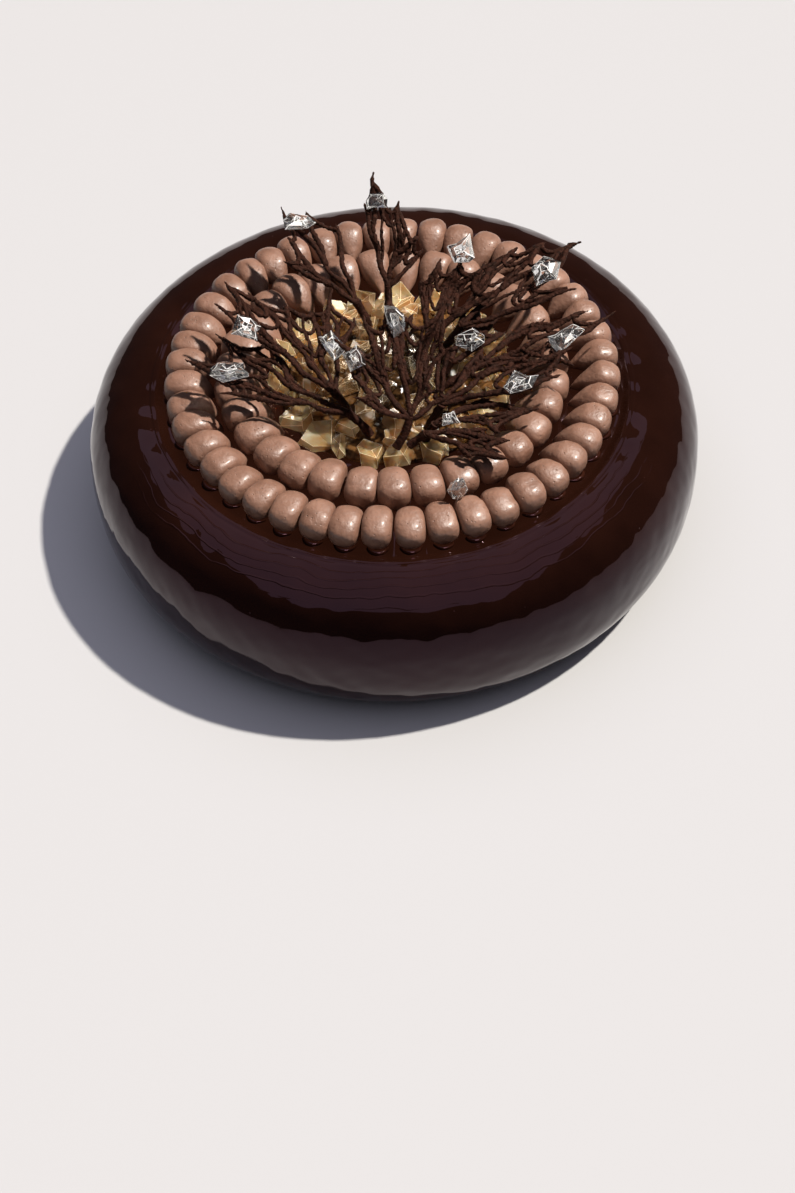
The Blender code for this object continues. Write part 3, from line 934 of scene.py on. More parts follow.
@dataclass
class DropRing:
    """A ring of piped drops, tails to the middle.

    Attributes:
        name: Name of the piece.
        node: The CAD node it stands for.
        count: How many drops.
        radius: Radius of the ring that the bulbs' middles lie on.
        first_angle: Turn of the first drop in degrees.
        height: Height of a drop.
        bulb: Length of the bulb, outwards.
        tail: Length of the tail, inwards.
        seed: Seed of their unevenness.
        overlap: Width of a drop over the room it has.
        room: Half width that the neighbours leave, over half the even share.
        press: Power of their pressing.
        width_taper: How the width narrows.
        height_taper: How the height does.
        waist: Height of the widest place over the drop's height.
        tip_lift: Height by which the tail's middle line rises, over the drop's.
        section_powers: Powers of a section's width above and below the waist,
            and of its height.
        undercut: Share by which the bulb's foot draws back.
        pinch: Share by which the foot is narrower.
        lumps: Lumps of a drop, as shares of its size.
        ends: Heights of the bulb's end and of the tip, over the drop's.
        size_shake: Share by which heights and tails differ.
        width_shake: Share by which widths differ.
        turn_shake: Degrees by which places on the ring differ.
        out_shake: Metres by which drops lie farther out or in.
        lift_shake: Metres by which they lie higher, at most twice this.
        yaw_shake: Degrees by which drops turn, and what the loose ones add.
        blunt_way: Direction in radians of the blunt tails on the left.
        blunt_shares: Share that those lose towards the back, bluntness of the
            front ones, and bluntness by chance, at most twice this.
        loose_way: Direction in radians of the drops that lie loosest.
        sides: Corners of a section.
        steps: Sections from end to end.
    """

    name: str
    node: str
    count: int
    radius: float
    first_angle: float
    height: float
    bulb: float
    tail: float
    seed: int
    overlap: float = 1.24
    room: float = 1.03
    press: int = 7
    width_taper: Taper = Taper(0.74, (1.15, 0.95), (1.05, -0.41))
    height_taper: Taper = Taper(0.60, (1.35, 1.15), (0.85, -0.25))
    waist: float = 0.46
    tip_lift: float = 0.05
    section_powers: Triple = (0.80, 0.70, 0.88)
    undercut: float = 0.20
    pinch: float = 0.10
    lumps: tuple[Wave, ...] = (Wave(0.034, 0.0065, 0), Wave(0.0153, 0.0028, 1))
    ends: Pair = (0.42, 0.10)
    size_shake: float = 0.06
    width_shake: float = 0.03
    turn_shake: float = 0.5
    out_shake: float = 0.0003
    lift_shake: float = 0.00004
    yaw_shake: Pair = (5, 11)
    blunt_way: float = 2.75
    blunt_shares: Triple = (0.65, 0.80, 0.08)
    loose_way: float = 2.1
    sides: int = 26
    steps: int = 24

    def drop(self, width: float, height: float, tail: float, blunt: float,
             seed: int) -> np.ndarray:
        """Return one drop lying on its own floor, as rings of points.

        Above the waist a section is nearly half an ellipse. Below it is
        squarer, as the soft drop settles on its foot, which draws back. Where
        the drop is wider than its room the neighbours press it flat: with
        q = width / limit, the width becomes limit * q / (1 + q^7)^(1/7).

        Args:
            width: Full width before pressing.
            height: Full height.
            tail: Length of the tail.
            blunt: From 0, a pointed tail, to 1, a blunt one.
            seed: Seed of its lumps.

        Returns:
            Points as (section, side, 3), poles not included.
        """
        turn = np.linspace(0, math.pi, self.steps + 2)[1:-1]
        front = turn < math.pi / 2
        along = np.where(front, self.bulb, tail) * np.cos(turn)
        behind = np.clip(-np.cos(turn), 0, 1)
        wide, high = self.width_taper.at(turn, blunt), self.height_taper.at(turn, blunt)
        middle = height * np.where(front, self.waist, self.waist * high + self.tip_lift * behind)
        around = circle(self.sides) + math.pi / 2
        cos, sin = np.cos(around), np.sin(around)
        above = sin >= 0
        upper, lower, rising = self.section_powers
        across = np.abs(cos) ** np.where(above, upper, lower) * np.sign(cos)
        across = across * width / 2 * wide[:, None]
        reach = np.where(above, (1 - self.waist) * height * high[:, None], middle[:, None])
        up = middle[:, None] + np.abs(sin) ** rising * np.sign(sin) * reach
        under = np.clip(1 - up / (self.waist * height), 0, 1) ** 2
        out = along[:, None] * (1 - self.undercut * under * (along[:, None] > 0))
        points = np.stack([out, across * (1 - self.pinch * under), up], -1)
        lumps = sum(wave.at(points, seed) for wave in self.lumps)
        middle_line = np.stack([along, np.zeros_like(along), middle], 1)[:, None]
        points = middle_line + (points - middle_line) * (1 + lumps[..., None])
        limit = (self.radius + points[..., 0]) * math.tan(math.pi / self.count) * self.room
        ratio = np.abs(points[..., 1]) / limit
        points[..., 1] /= (1 + ratio ** self.press) ** (1 / self.press)
        points[..., 2] = np.maximum(points[..., 2], 0.0)
        return points

    def bluntness(self, angle: float, chance: float) -> float:
        """Return how blunt a tail is.

        With a the place's angle and w the blunt way, it is
        max(0, cos(a - w))^1.5 * (1 - back * max(0, sin a)) for the left,
        plus front * max(0, -sin a)^2, plus some by chance.

        Args:
            angle: Place on the ring in radians.
            chance: Random number from -1 to 1.

        Returns:
            From 0, a pointed tail, to about 1, a blunt one.
        """
        back, front, spread = self.blunt_shares
        left = max(0.0, math.cos(angle - self.blunt_way)) ** 1.5
        left *= 1 - back * max(0.0, math.sin(angle))
        return left + front * max(0.0, -math.sin(angle)) ** 2 + spread * (1 + chance)

    def build(self) -> Shape:
        """Lay the ring, drop by drop, each a little different.

        Returns:
            All drops, joined.
        """
        draw = np.random.default_rng(self.seed)
        width = FULL_TURN * self.radius / self.count * self.overlap
        shapes = []
        for index in range(self.count):
            wide, high, long, out, yaw, turn = draw.uniform(-1, 1, 6)
            tail = self.tail * (1 + self.size_shake * long)
            height = self.height * (1 + self.size_shake * high)
            angle = math.radians(self.first_angle + 360 * index / self.count +
                                 self.turn_shake * turn)
            rings = self.drop(width * (1 + self.width_shake * wide), height, tail,
                              self.bluntness(angle, wide), self.seed * 1000 + index)
            bulb_end = np.array([self.bulb, 0.0, height * self.ends[0]])
            tip = np.array([-tail, 0.0, height * self.ends[1]])
            loose = max(0.0, math.cos(angle - self.loose_way)) ** 4
            yaw *= self.yaw_shake[0] + self.yaw_shake[1] * loose
            place = (Matrix.Rotation(angle, 4, "Z")
                     @ Matrix.Translation((self.radius + self.out_shake * out, 0,
                                           FLOOR + GAP + self.lift_shake * (1 + wide)))
                     @ Matrix.Rotation(math.radians(yaw), 4, "Z"))
            shapes.append(closed_rings(rings, bulb_end, tip).moved(np.array(place)))
        return join(shapes)

    def dress(self) -> None:
        """Put the ring into the scene."""
        put_piece(self.name, self.build(), GANACHE, [self.node], 60)


@dataclass
class GlazeBeads:
    """Low arcs of glaze pushed up at the feet of the outer drops.

    Attributes:
        ring: The ring of drops that they lie against.
        size: Thickest radius of an arc.
        inset: How far its middle line lies inside the bulb's end.
        half_width: Half the width that an arc spans.
        lift: Height of its middle line over the floor.
        spans: Least and most half turn of an arc in radians.
        sizes: Least and most share of the size.
        end: How far from its ends the sine of its thickness starts, in radians.
        samples: Sections of an arc.
        strand: Its section.
        seed: Seed of their differences.
    """

    ring: DropRing
    size: float = 0.00075
    inset: float = 0.0005
    half_width: float = 0.0036
    lift: float = 0.00015
    spans: Pair = (0.75, 1.0)
    sizes: Pair = (0.7, 1.1)
    end: float = 0.25
    samples: int = 14
    strand: Strand = Strand(8, UP)
    seed: int = 21

    def build(self) -> Shape:
        """Return one arc for each drop.

        An arc is a circle's section carried along part of an ellipse round the
        bulb's end. Its radius is size * sin(t)^0.6, t running from end to end.

        Returns:
            All arcs, joined.
        """
        draw = np.random.default_rng(self.seed)
        swell = np.sin(np.linspace(self.end, math.pi - self.end, self.samples)) ** 0.6
        shapes = []
        for index in range(self.ring.count):
            angle = math.radians(self.ring.first_angle + 360 * index / self.ring.count)
            sweep = np.linspace(-1.0, 1.0, self.samples) * draw.uniform(*self.spans)
            reach = self.ring.radius + (self.ring.bulb - self.inset) * np.cos(sweep)
            aside = self.half_width * np.sin(sweep)
            path = np.stack([reach * math.cos(angle) - aside * math.sin(angle),
                             reach * math.sin(angle) + aside * math.cos(angle),
                             np.full(self.samples, FLOOR + self.lift)], 1)
            thick = self.size * swell * draw.uniform(*self.sizes)
            shapes.append(self.strand.along(path, thick))
        return join(shapes)

    def dress(self) -> None:
        """Put the arcs into the scene."""
        put_piece("glaze_beads", self.build(), GLAZE, [], 80)


# The jelly


@dataclass(frozen=True)
class ChunkRing:
    """Chunks of jelly that lie in one ring.

    Attributes:
        count: How many.
        radius: Radius that their middles lie on.
        height: Height of their middles.
        share: Their size over the full size.
    """

    count: int
    radius: float
    height: float
    share: float


@dataclass
class JellyHeap:
    """Chopped jelly on a low bed of the same jelly, whose dark brown colour is painted shade
    between the chunks.

    Attributes:
        radius: Radius of the bed.
        rise: Height of the bed's middle.
        edge: Height of the bed's edge.
        bed_wave: Unevenness of the bed.
        bed_grid: Rounds and sides of the bed's top.
        bed_inner: Radius of its innermost round over the bed's.
        reach: No chunk's middle lies nearer than the margin to this radius.
        margin: Room that a chunk needs inside the reach.
        rings: The rings of chunks, full ones first.
        size: Half lengths of a full chunk.
        sizes: Least and most share of each length.
        turn_shake: Share of an even step by which a chunk's place turns.
        lift_shake: Metres by which it lies higher or lower.
        out_shake: Metres by which it lies farther out or in.
        tilt: Most lean in radians.
        clear: Least height over the floor.
        seed: Seed of the chunks.
    """

    radius: float = 0.0330
    rise: float = 0.0032
    edge: float = 0.0012
    bed_wave: Wave = Wave(0.0006, 0.004, 31)
    bed_grid: tuple[int, int] = (30, 96)
    bed_inner: float = 0.04
    reach: float = 0.0360
    margin: float = 0.004
    rings: tuple[ChunkRing, ...] = (
        ChunkRing(17, 0.0318, 0.0037, 1.0), ChunkRing(9, 0.0190, 0.0046, 1.0),
        ChunkRing(3, 0.0070, 0.0048, 1.0), ChunkRing(21, 0.0322, 0.0026, 0.70),
        ChunkRing(15, 0.0258, 0.0044, 0.72), ChunkRing(11, 0.0130, 0.0046, 0.72))
    size: Triple = (0.0047, 0.0039, 0.0031)
    sizes: Pair = (0.8, 1.2)
    turn_shake: float = 0.25
    lift_shake: float = 0.0006
    out_shake: float = 0.001
    tilt: float = 0.5
    clear: float = 0.0002
    seed: int = 5

    def bed(self) -> Shape:
        """Return the bed, a low dome.

        Its height is edge + (rise - edge) * (1 - s^2) at the share s of its
        radius, shaken by noise.

        Returns:
            The closed dome, flat underneath.
        """
        rounds, sides = self.bed_grid
        turn = circle(sides)
        share = np.concatenate([[1.0], np.linspace(1.0, self.bed_inner, rounds)])
        lift = self.edge + (self.rise - self.edge) * (1 - share ** 2)
        lift[0] = 0.0
        rings = np.stack([self.radius * share[:, None] * np.cos(turn),
                          self.radius * share[:, None] * np.sin(turn),
                          np.broadcast_to(lift[:, None], (rounds + 1, sides))], -1)
        rings[1:, :, 2] += self.bed_wave.at(rings[1:])
        base = np.array([0.0, 0.0, FLOOR + GAP])
        return closed_rings(rings + base, base, base + (0, 0, self.rise))

    def build(self) -> Shape:
        """Return the chunks, ring by ring, each broken and turned by chance.

        Returns:
            All chunks, joined.
        """
        draw = np.random.default_rng(self.seed)
        floor = FLOOR + GAP
        shapes = []
        for ring in self.rings:
            for index in range(ring.count):
                step = index + draw.uniform(-self.turn_shake, self.turn_shake)
                angle = FULL_TURN * step / ring.count
                lift = ring.height + self.lift_shake * draw.uniform(-1, 1)
                out = min(ring.radius + self.out_shake * draw.uniform(-1, 1),
                          self.reach - self.margin)
                size = np.array(self.size) * draw.uniform(*self.sizes, 3) * 2 * ring.share
                turn = (Matrix.Rotation(draw.uniform(0, math.pi), 4, "Z")
                        @ Matrix.Rotation(draw.uniform(-self.tilt, self.tilt), 4, "X"))
                place = Matrix.Translation((out * math.cos(angle), out * math.sin(angle),
                                            floor + lift)) @ turn
                chunk = BLOCK.piece(tuple(size), self.seed * 100 + len(shapes))
                chunk = chunk.moved(np.array(place))
                chunk.points[:, 2] = np.maximum(chunk.points[:, 2], floor + self.clear)
                shapes.append(chunk)
        return join(shapes)

    def dress(self) -> None:
        """Put the bed and the chunks into the scene."""
        # The bed's dark colour paints the shade between the chunks
        put_piece("jelly_bed_painted_shade", self.bed(), SHADED_BED, [], 50)
        put_piece("jelly_chunks", self.build(), JELLY, ["jelly_heap"], 12,
                  0.00024, JELLY_EDGE_HIGHLIGHT)


# The lace


class StrandSeed(IntEnum):
    """Numbers added to a fan's seed, so that no two strands share one."""

    RIBS = 10
    RIMS = 40
    LINKS = 60
    FINE_RIBS = 80


@dataclass(frozen=True)
class LaceFan:
    """One lace fan on a curved sheet that leaves its hub.

    Attributes:
        name: The CAD node it stands for.
        foot: Lower end of its stem.
        hub: Where the ribs leave the stem.
        heading: Direction of its middle in degrees.
        rise: Slope of its sheet in degrees.
        cup: Rise of the sheet's sides per square metre of width.
        roll: Lean of the sheet.
        tips: Angle in degrees and distance in millimetres of each rib's end.
        links: How many inner arcs join two ribs.
        stem_radius: Radius of the stem.
        rib_radius: Radius of a rib at the hub.
        rib_end: Radius near its end.
        arc_radius: Radius of the arcs between two ribs.
        fine_end: Radius at a thin rib's end.
        fork_share: Share of a rib's length at which the next one forks off.
        swing: Power by which a forked rib swings out.
        bow: Power of an arc's sine, for a flat or a pointed one.
        deepest: Most sag of an arc over its distance.
        closed_gap: Radians between two ribs under which they are still one.
        wide_gap: Degrees between two ribs over which they have thin ribs.
        double_gap: Radians over which they have two.
        buckles: Waves of the sheet along X, Y and Z.
        buckle_begin: Distances from the hub between which they begin.
        wander: How a strand strays from its line.
        swell: How its radius changes, as a share.
        tip: Share of its radius that a thorn loses.
        cap: Radius of a strand's first and last section over the next one's.
        rib_point: Share of a rib that is pointed.
        skin: Section and roughness of the stem, the ribs, the arcs and the thin
            ribs.
    """

    name: str
    foot: Triple
    hub: Triple
    heading: float
    rise: float
    cup: float
    roll: float
    tips: tuple[Pair, ...]
    links: int = 1
    stem_radius: float = 0.00122
    rib_radius: float = 0.00080
    rib_end: float = 0.00070
    arc_radius: float = 0.00070
    fine_end: float = 0.00050
    fork_share: float = 0.42
    swing: float = 0.7
    bow: float = 0.6
    deepest: float = 0.42
    closed_gap: float = 0.05
    wide_gap: float = 11
    double_gap: float = 0.26
    buckles: tuple[Wave, ...] = (Wave(0.00095, 0.017, 61), Wave(0.00095, 0.017, 62),
                                 Wave(0.00038, 0.017, 63))
    buckle_begin: Pair = (0.001, 0.012)
    wander: Wave = Wave(0.00018, 0.011)
    swell: Wave = Wave(0.13, 0.006, 5)
    tip: float = 0.68
    cap: float = 0.6
    rib_point: float = 0.14
    skin: tuple[Strand, ...] = (
        Strand(10, (0.31, 0.17, 1.0), 0.00007), Strand(8, (0.21, 0.13, 1.0), 0.00013),
        Strand(7, (0.21, 0.13, 1.0), 0.00013), Strand(6, (0.21, 0.13, 1.0), 0.00013))

    def sheet(self, angle: np.ndarray, distance: np.ndarray) -> np.ndarray:
        """Return places on the sheet.

        The sheet rises along its middle by the rise angle and lifts at its
        sides by cup times the width squared, plus roll times the width. Away
        from the hub it buckles.

        Args:
            angle: Degrees from the heading.
            distance: Metres from the hub.

        Returns:
            One place for each pair.
        """
        angle = np.radians(angle)
        along, across = distance * np.cos(angle), distance * np.sin(angle)
        rise, heading = math.radians(self.rise), math.radians(self.heading)
        level = along * math.cos(rise)
        height = along * math.sin(rise) + self.cup * across ** 2 + self.roll * across
        places = np.stack([self.hub[0] + level * math.cos(heading) - across * math.sin(heading),
                           self.hub[1] + level * math.sin(heading) + across * math.cos(heading),
                           self.hub[2] + height], -1)
        waves = np.stack([wave.at(places) for wave in self.buckles], -1)
        return places + smooth_step(distance, *self.buckle_begin)[..., None] * waves

    def line(self, angle: np.ndarray, distance: np.ndarray, ends: Pair, skin: Strand,
             seed: int, point: float = 0.0) -> Shape:
        """Return a strand along the sheet.

        Its radius runs evenly from end to end, swells and thins by noise, and
        over the last share given by point it narrows to a thorn.

        Args:
            angle: Degrees at each sample.
            distance: Millimetres from the hub at each sample.
            ends: First and last radius.
            skin: Its section.
            seed: Seed of its unevenness.
            point: Share of its length that is pointed.

        Returns:
            The strand.
        """
        path = self.sheet(angle, distance / 1000)
        share = np.linspace(0, 1, len(path))
        path = path + np.stack([self.wander.at(path, seed + axis) for axis in range(3)], -1)
        radius = ends[0] + (ends[1] - ends[0]) * share
        radius = radius * (1 + self.swell.at(path, seed))
        if point:
            radius = radius * (1 - self.tip * smooth_step(share, 1 - point, 1.0))
        radius[[0, -1]] *= self.cap
        return skin.along(path, radius, seed)

    def rib_angle(self, index: int, distance: np.ndarray) -> np.ndarray:
        """Return a rib's angle at some distances.

        An even rib keeps its angle. An odd one follows the rib before it up to
        the fork, then swings out by t^0.7 over the rest.

        Args:
            index: Number of the rib.
            distance: Millimetres from the hub.

        Returns:
            Degrees.
        """
        angle, length = self.tips[index]
        if index % 2 == 0:
            return np.full_like(distance, angle, dtype=float)
        trunk, trunk_length = self.tips[index - 1]
        fork = trunk_length * self.fork_share
        walk = np.clip((distance - fork) / (length - fork), 0, 1)
        return trunk + (angle - trunk) * walk ** self.swing

    def ribs(self, seed: int) -> list[Shape]:
        """Return the ribs. Every second one forks from the one before it.

        Args:
            seed: Seed of the first one.

        Returns:
            One strand for each tip.
        """
        shapes = []
        for index, (_, length) in enumerate(self.tips):
            start = self.tips[index - 1][1] * self.fork_share if index % 2 else 0.3
            distance = np.linspace(start, length, max(16, int(1.8 * length)))
            shapes.append(self.line(self.rib_angle(index, distance), distance,
                                    (self.rib_radius, self.rib_end), self.skin[1],
                                    seed + index, self.rib_point))
        return shapes

    def arc(self, index: int, low: float, depth: float, radius: float, seed: int) -> list[Shape]:
        """Return a U-shaped strand between a rib and the next one.

        With t from 0 to 1, its angle goes evenly from one rib to the other and
        its distance is cut by sag * sin(pi t)^0.6.

        Args:
            index: Number of the first rib.
            low: Share of the ribs' lengths at which it starts.
            depth: Sag over the angle between the two ribs.
            radius: Radius of the strand.
            seed: Seed of its unevenness.

        Returns:
            The strand, or nothing where the ribs are still one.
        """
        reach = np.array([self.tips[index][1], self.tips[index + 1][1]]) * low
        ends = [float(self.rib_angle(index + side, reach[side:side + 1])[0]) for side in (0, 1)]
        gap = math.radians(abs(ends[0] - ends[1]))
        if gap < self.closed_gap:
            return []
        sag = min(self.deepest, depth * gap)
        share = np.linspace(0, 1, max(12, int((gap + sag) * reach.max() * 2.2)))
        length = reach[0] + (reach[1] - reach[0]) * share
        length = length * (1 - sag * np.sin(math.pi * share) ** self.bow)
        return [self.line(ends[0] + (ends[1] - ends[0]) * share, length, (radius, radius),
                          self.skin[2], seed)]

    def fine_ribs(self, index: int, depth: float, draw: np.random.Generator,
                  seed: int) -> list[Shape]:
        """Return thin ribs that leave a main rib low down and end on the scallop.

        Args:
            index: Number of the first main rib.
            depth: Depth of the scallop between it and the next one.
            draw: Random numbers for their places.
            seed: Seed of their unevenness.

        Returns:
            One or two strands.
        """
        shapes = []
        left, right = self.tips[index], self.tips[index + 1]
        gap = math.radians(abs(left[0] - right[0]))
        for number, share in enumerate((0.5,) if gap < self.double_gap else (0.33, 0.67)):
            share = share + draw.uniform(-0.07, 0.07)
            end = left[0] + (right[0] - left[0]) * share
            length = (left[1] + (right[1] - left[1]) * share) * 0.95
            length *= 1 - min(self.deepest, depth * gap) * math.sin(math.pi * share) ** self.bow
            low = length * draw.uniform(0.15, 0.45)
            near = index if share < 0.5 else index + 1
            start = float(self.rib_angle(near, np.array([low]))[0])
            walk = np.linspace(0, 1, max(14, int(1.5 * length)))
            shapes.append(self.line(start + (end - start) * walk ** self.swing,
                                    low + (length - low) * walk,
                                    (self.arc_radius * 0.85, self.fine_end), self.skin[3],
                                    seed + number))
        return shapes

    def stem(self, seed: int) -> Shape:
        """Return the stem, a smooth line from the foot to just past the hub."""
        foot, hub = np.array(self.foot), np.array(self.hub)
        top = self.sheet(np.array([0.0]), np.array([0.0008]))[0]
        path = through(np.stack([foot, (foot + hub) / 2 + (0.0003, 0, 0), top]), 14)
        thick = self.stem_radius * (1 + Wave(0.10, 0.004, seed).at(path))
        return self.skin[0].along(path, thick, seed)

    def build(self, seed: int) -> Shape:
        """Return the whole fan: stem, ribs, outer scallops, inner links and thin ribs.

        Args:
            seed: Seed of its strands.

        Returns:
            All strands, joined.
        """
        shapes = [self.stem(seed)] + self.ribs(seed + StrandSeed.RIBS)
        draw = np.random.default_rng(seed)
        for index, (left, right) in enumerate(zip(self.tips[:-1], self.tips[1:])):
            gap = abs(left[0] - right[0])
            depth = draw.uniform(0.42, 0.72)
            shapes += self.arc(index, draw.uniform(0.91, 0.95), depth, self.arc_radius,
                               seed + StrandSeed.RIMS + index)
            if gap > self.wide_gap or self.links > 1:
                for link in range(self.links):
                    low = 0.84 - 0.19 * link + draw.uniform(-0.05, 0.05)
                    shapes += self.arc(index, low, draw.uniform(0.7, 1.3), self.arc_radius * 0.9,
                                       seed + StrandSeed.LINKS + 9 * link + index)
            if gap > self.wide_gap:
                shapes += self.fine_ribs(index, depth, draw,
                                         seed + StrandSeed.FINE_RIBS + 3 * index)
        return join(shapes)

    def dress(self, seed: int) -> None:
        """Put the fan into the scene."""
        put_piece(self.name + "_strands", self.build(seed), LACE, [self.name], 75)


FANS = (
    LaceFan("lace_front", (0.0005, -0.0325, 0.0532), (0.0048, -0.0294, 0.0610), 92, 38, 5.0, 0.00,
            ((69, 17), (51, 21), (41, 30), (21, 30), (6, 37), (-5, 29), (-19, 33), (-36, 23),
             (-64, 12)), 2),
    LaceFan("lace_front_right", (0.0042, -0.0322, 0.0535), (0.0080, -0.0315, 0.0575), -14, 2, 0.0,
            0.00, ((16, 18), (4, 25), (-15, 26), (-25, 17))),
    LaceFan("lace_right_front", (0.0080, -0.0285, 0.0496), (0.0108, -0.0280, 0.0572), 2, 6, 2.0,
            0.00, ((22, 17), (9, 23), (0, 30), (-17, 20))),
    LaceFan("lace_right_low", (0.0095, -0.0230, 0.0504), (0.0128, -0.0225, 0.0592), 8, 10, 3.0,
            0.05, ((46, 23), (28, 24), (21, 31), (11, 41), (-2, 34)), 2),
    LaceFan("lace_middle", (0.0126, -0.0056, 0.0506), (0.0166, -0.0048, 0.0584), 42, 13, 2.0,
            0.00, ((21, 20), (2, 20), (-20, 18)), 2),
    LaceFan("lace_right", (0.0134, -0.0121, 0.0549), (0.0186, -0.0101, 0.0580), 9, 10, 3.0, 0.00,
            ((25, 31), (15, 42), (9, 48), (-12, 33)), 2),
    LaceFan("lace_back_right", (0.0148, 0.0080, 0.0507), (0.0197, 0.0046, 0.0634), 30, 15, 2.0,
            0.00, ((36, 22), (24, 30), (12, 38), (2, 43), (-24, 34)), 2),
    LaceFan("lace_back_inner", (0.0071, 0.0014, 0.0547), (0.0106, 0.0026, 0.0610), 62, 30, 2.0,
            0.00, ((30, 18), (14, 24), (-1, 26), (-17, 26), (-35, 23)), 2),
    LaceFan("lace_back", (-0.0008, 0.0205, 0.0503), (-0.0003, 0.0242, 0.0610), 92, 45, 0.0, 0.00,
            ((13, 25), (2, 34), (-13, 25), (-33, 17), (-47, 15))),
    LaceFan("lace_back_left", (-0.0053, 0.0162, 0.0505), (-0.0091, 0.0183, 0.0605), 124, 22, 2.0,
            0.00, ((28, 25), (13, 29), (3, 37), (-6, 33), (-17, 27))),
    LaceFan("lace_left_high", (-0.0125, -0.0180, 0.0534), (-0.0163, -0.0169, 0.0600), 122, 16, 3.0,
            0.05, ((21, 42), (9, 46), (4, 40), (-6, 33), (-18, 28), (-30, 34), (-42, 26)), 2),
    LaceFan("lace_left", (-0.0065, -0.0250, 0.0508), (-0.0120, -0.0233, 0.0578), 159, 9, 0.0, 0.00,
            ((14, 36), (2, 49), (-12, 46), (-27, 39))),
)


# The clear shards


@dataclass(frozen=True)
class Shard:
    """One clear shard, in the place of its CAD node.

    Attributes:
        name: The CAD node it stands for.
        fan: Name of the fan it lies on, or an empty name.
        angle: Its angle on the fan's sheet in degrees.
        distance: Its distance from the hub in millimetres.
        size: Its lengths along its own axes.
        turn: Its turn on the sheet in degrees.
        seed: Seed of its facets.
    """

    name: str
    fan: str
    angle: float
    distance: float
    size: Triple
    turn: float
    seed: int

    def frame_of(self) -> np.ndarray:
        """Return the matrix that lays the shard where its CAD node is.

        Its place is the middle of the node's box. Its axes are the direction
        away from the hub, the one across it and the sheet's normal, found from
        a step of 1 millimetre ahead and of 2 degrees aside.

        Returns:
            The 4 by 4 matrix.
        """
        low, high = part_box(self.name)
        matrix = np.eye(4)
        matrix[:3, 3] = (np.array(low) + np.array(high)) / 2
        fan = next((item for item in FANS if item.name == self.fan), None)
        if fan:
            here, ahead, aside = fan.sheet(
                np.array([self.angle, self.angle, self.angle + 2.0]),
                np.array([self.distance, self.distance + 1, self.distance]) / 1000)
            ahead = unit(ahead - here)
            normal = unit(np.cross(ahead, unit(aside - here)))
            matrix[:3, :3] = np.stack([ahead, np.cross(normal, ahead), normal], 1)
            matrix = matrix @ np.array(Matrix.Rotation(math.radians(self.turn), 4, "Z"))
        return matrix

    def dress(self) -> None:
        """Put the shard into the scene."""
        shape = FLAKE.piece(self.size, self.seed).moved(self.frame_of())
        put_piece(self.name + "_facets", shape, CLEAR, [self.name], 6, 0.00010,
                  CLEAR_EDGE_HIGHLIGHT)


SHARDS = (
    Shard("shard_front_top", "lace_front", 6, 28, (0.0092, 0.0060, 0.0024), 20, 31),
    Shard("shard_front_left", "lace_front", 41, 22, (0.0060, 0.0064, 0.0028), 65, 32),
    Shard("shard_front_low", "lace_right_front", -10, 5, (0.0052, 0.0048, 0.0028), 15, 33),
    Shard("shard_right_low", "lace_right_low", -5, 23, (0.0092, 0.0078, 0.0034), 30, 34),
    Shard("shard_right_inner", "lace_middle", -6, 8, (0.0074, 0.0086, 0.0036), 60, 35),
    Shard("shard_right", "lace_right", 1, 32, (0.0114, 0.0082, 0.0034), 25, 36),
    Shard("shard_back_right", "lace_back_right", -5, 29, (0.0100, 0.0086, 0.0032), 70, 37),
    Shard("shard_back_inner", "lace_back_inner", -1, 27, (0.0086, 0.0078, 0.0034), 40, 38),
    Shard("shard_back", "lace_back", 5, 25, (0.0064, 0.0046, 0.0022), 80, 39),
    Shard("shard_back_left", "lace_back_left", 4, 30, (0.0098, 0.0062, 0.0032), 35, 40),
    Shard("shard_left_high", "lace_left_high", 25, 30, (0.0082, 0.0072, 0.0032), 10, 41),
    Shard("shard_left_inner", "lace_left_high", -31, 14, (0.0088, 0.0058, 0.0028), 50, 42),
    Shard("shard_left", "lace_left", 5, 36, (0.0110, 0.0086, 0.0036), 15, 43),
    Shard("shard_between_drops", "", 0, 0, (0.0058, 0.0026, 0.0088), 0, 44),
)


# Camera, floor and light


@dataclass(frozen=True)
class Softbox:
    """One area light.

    Attributes:
        name: Its name.
        toward: Direction from the cake to the light.
        distance: Metres from the cake.
        size: Width and length in metres.
        power: Watts.
        colour: Linear colour.
        served: The only pieces that it lights, or none for all of them.
        spared: Pieces that it doesn't light.
        blocked_by: The only pieces that shade its light, or none for all of them.
        mirrored: Whether mirror finishes show it.
        aim: Height over the foot that it faces.
    """

    name: str
    toward: Triple
    distance: float
    size: Pair
    power: float
    colour: Colour
    served: tuple[str, ...] = ()
    spared: tuple[str, ...] = ()
    blocked_by: tuple[str, ...] = ()
    mirrored: bool = True
    aim: float = 0.04

    def gather(self, ending: str, names: tuple[str, ...]) -> bpy.types.Collection:
        """Return a new collection of the named pieces, called by the light and the ending."""
        pieces = bpy.data.collections.new(self.name + ending)
        for name in names:
            pieces.objects.link(bpy.data.objects[name])
        return pieces

    def light(self) -> None:
        """Hang the light, facing the cake, and link it to its pieces."""
        data = bpy.data.lights.new(self.name, "AREA")
        data.shape = "RECTANGLE"
        data.size, data.size_y = self.size
        data.energy = self.power
        data.color = self.colour
        lamp = bpy.data.objects.new(self.name, data)
        way = Vector(self.toward).normalized()
        lamp.location = way * self.distance + Vector((0, 0, self.aim))
        lamp.rotation_euler = way.to_track_quat("Z", "Y").to_euler()
        lamp.visible_glossy = self.mirrored
        bpy.context.scene.collection.objects.link(lamp)
        if self.served or self.spared:
            pieces = self.gather("_pieces", self.served or self.spared)
            lamp.light_linking.receiver_collection = pieces
            for item in pieces.collection_objects:
                item.light_linking.link_state = "INCLUDE" if self.served else "EXCLUDE"
        if self.blocked_by:
            lamp.light_linking.blocker_collection = self.gather("_blockers", self.blocked_by)


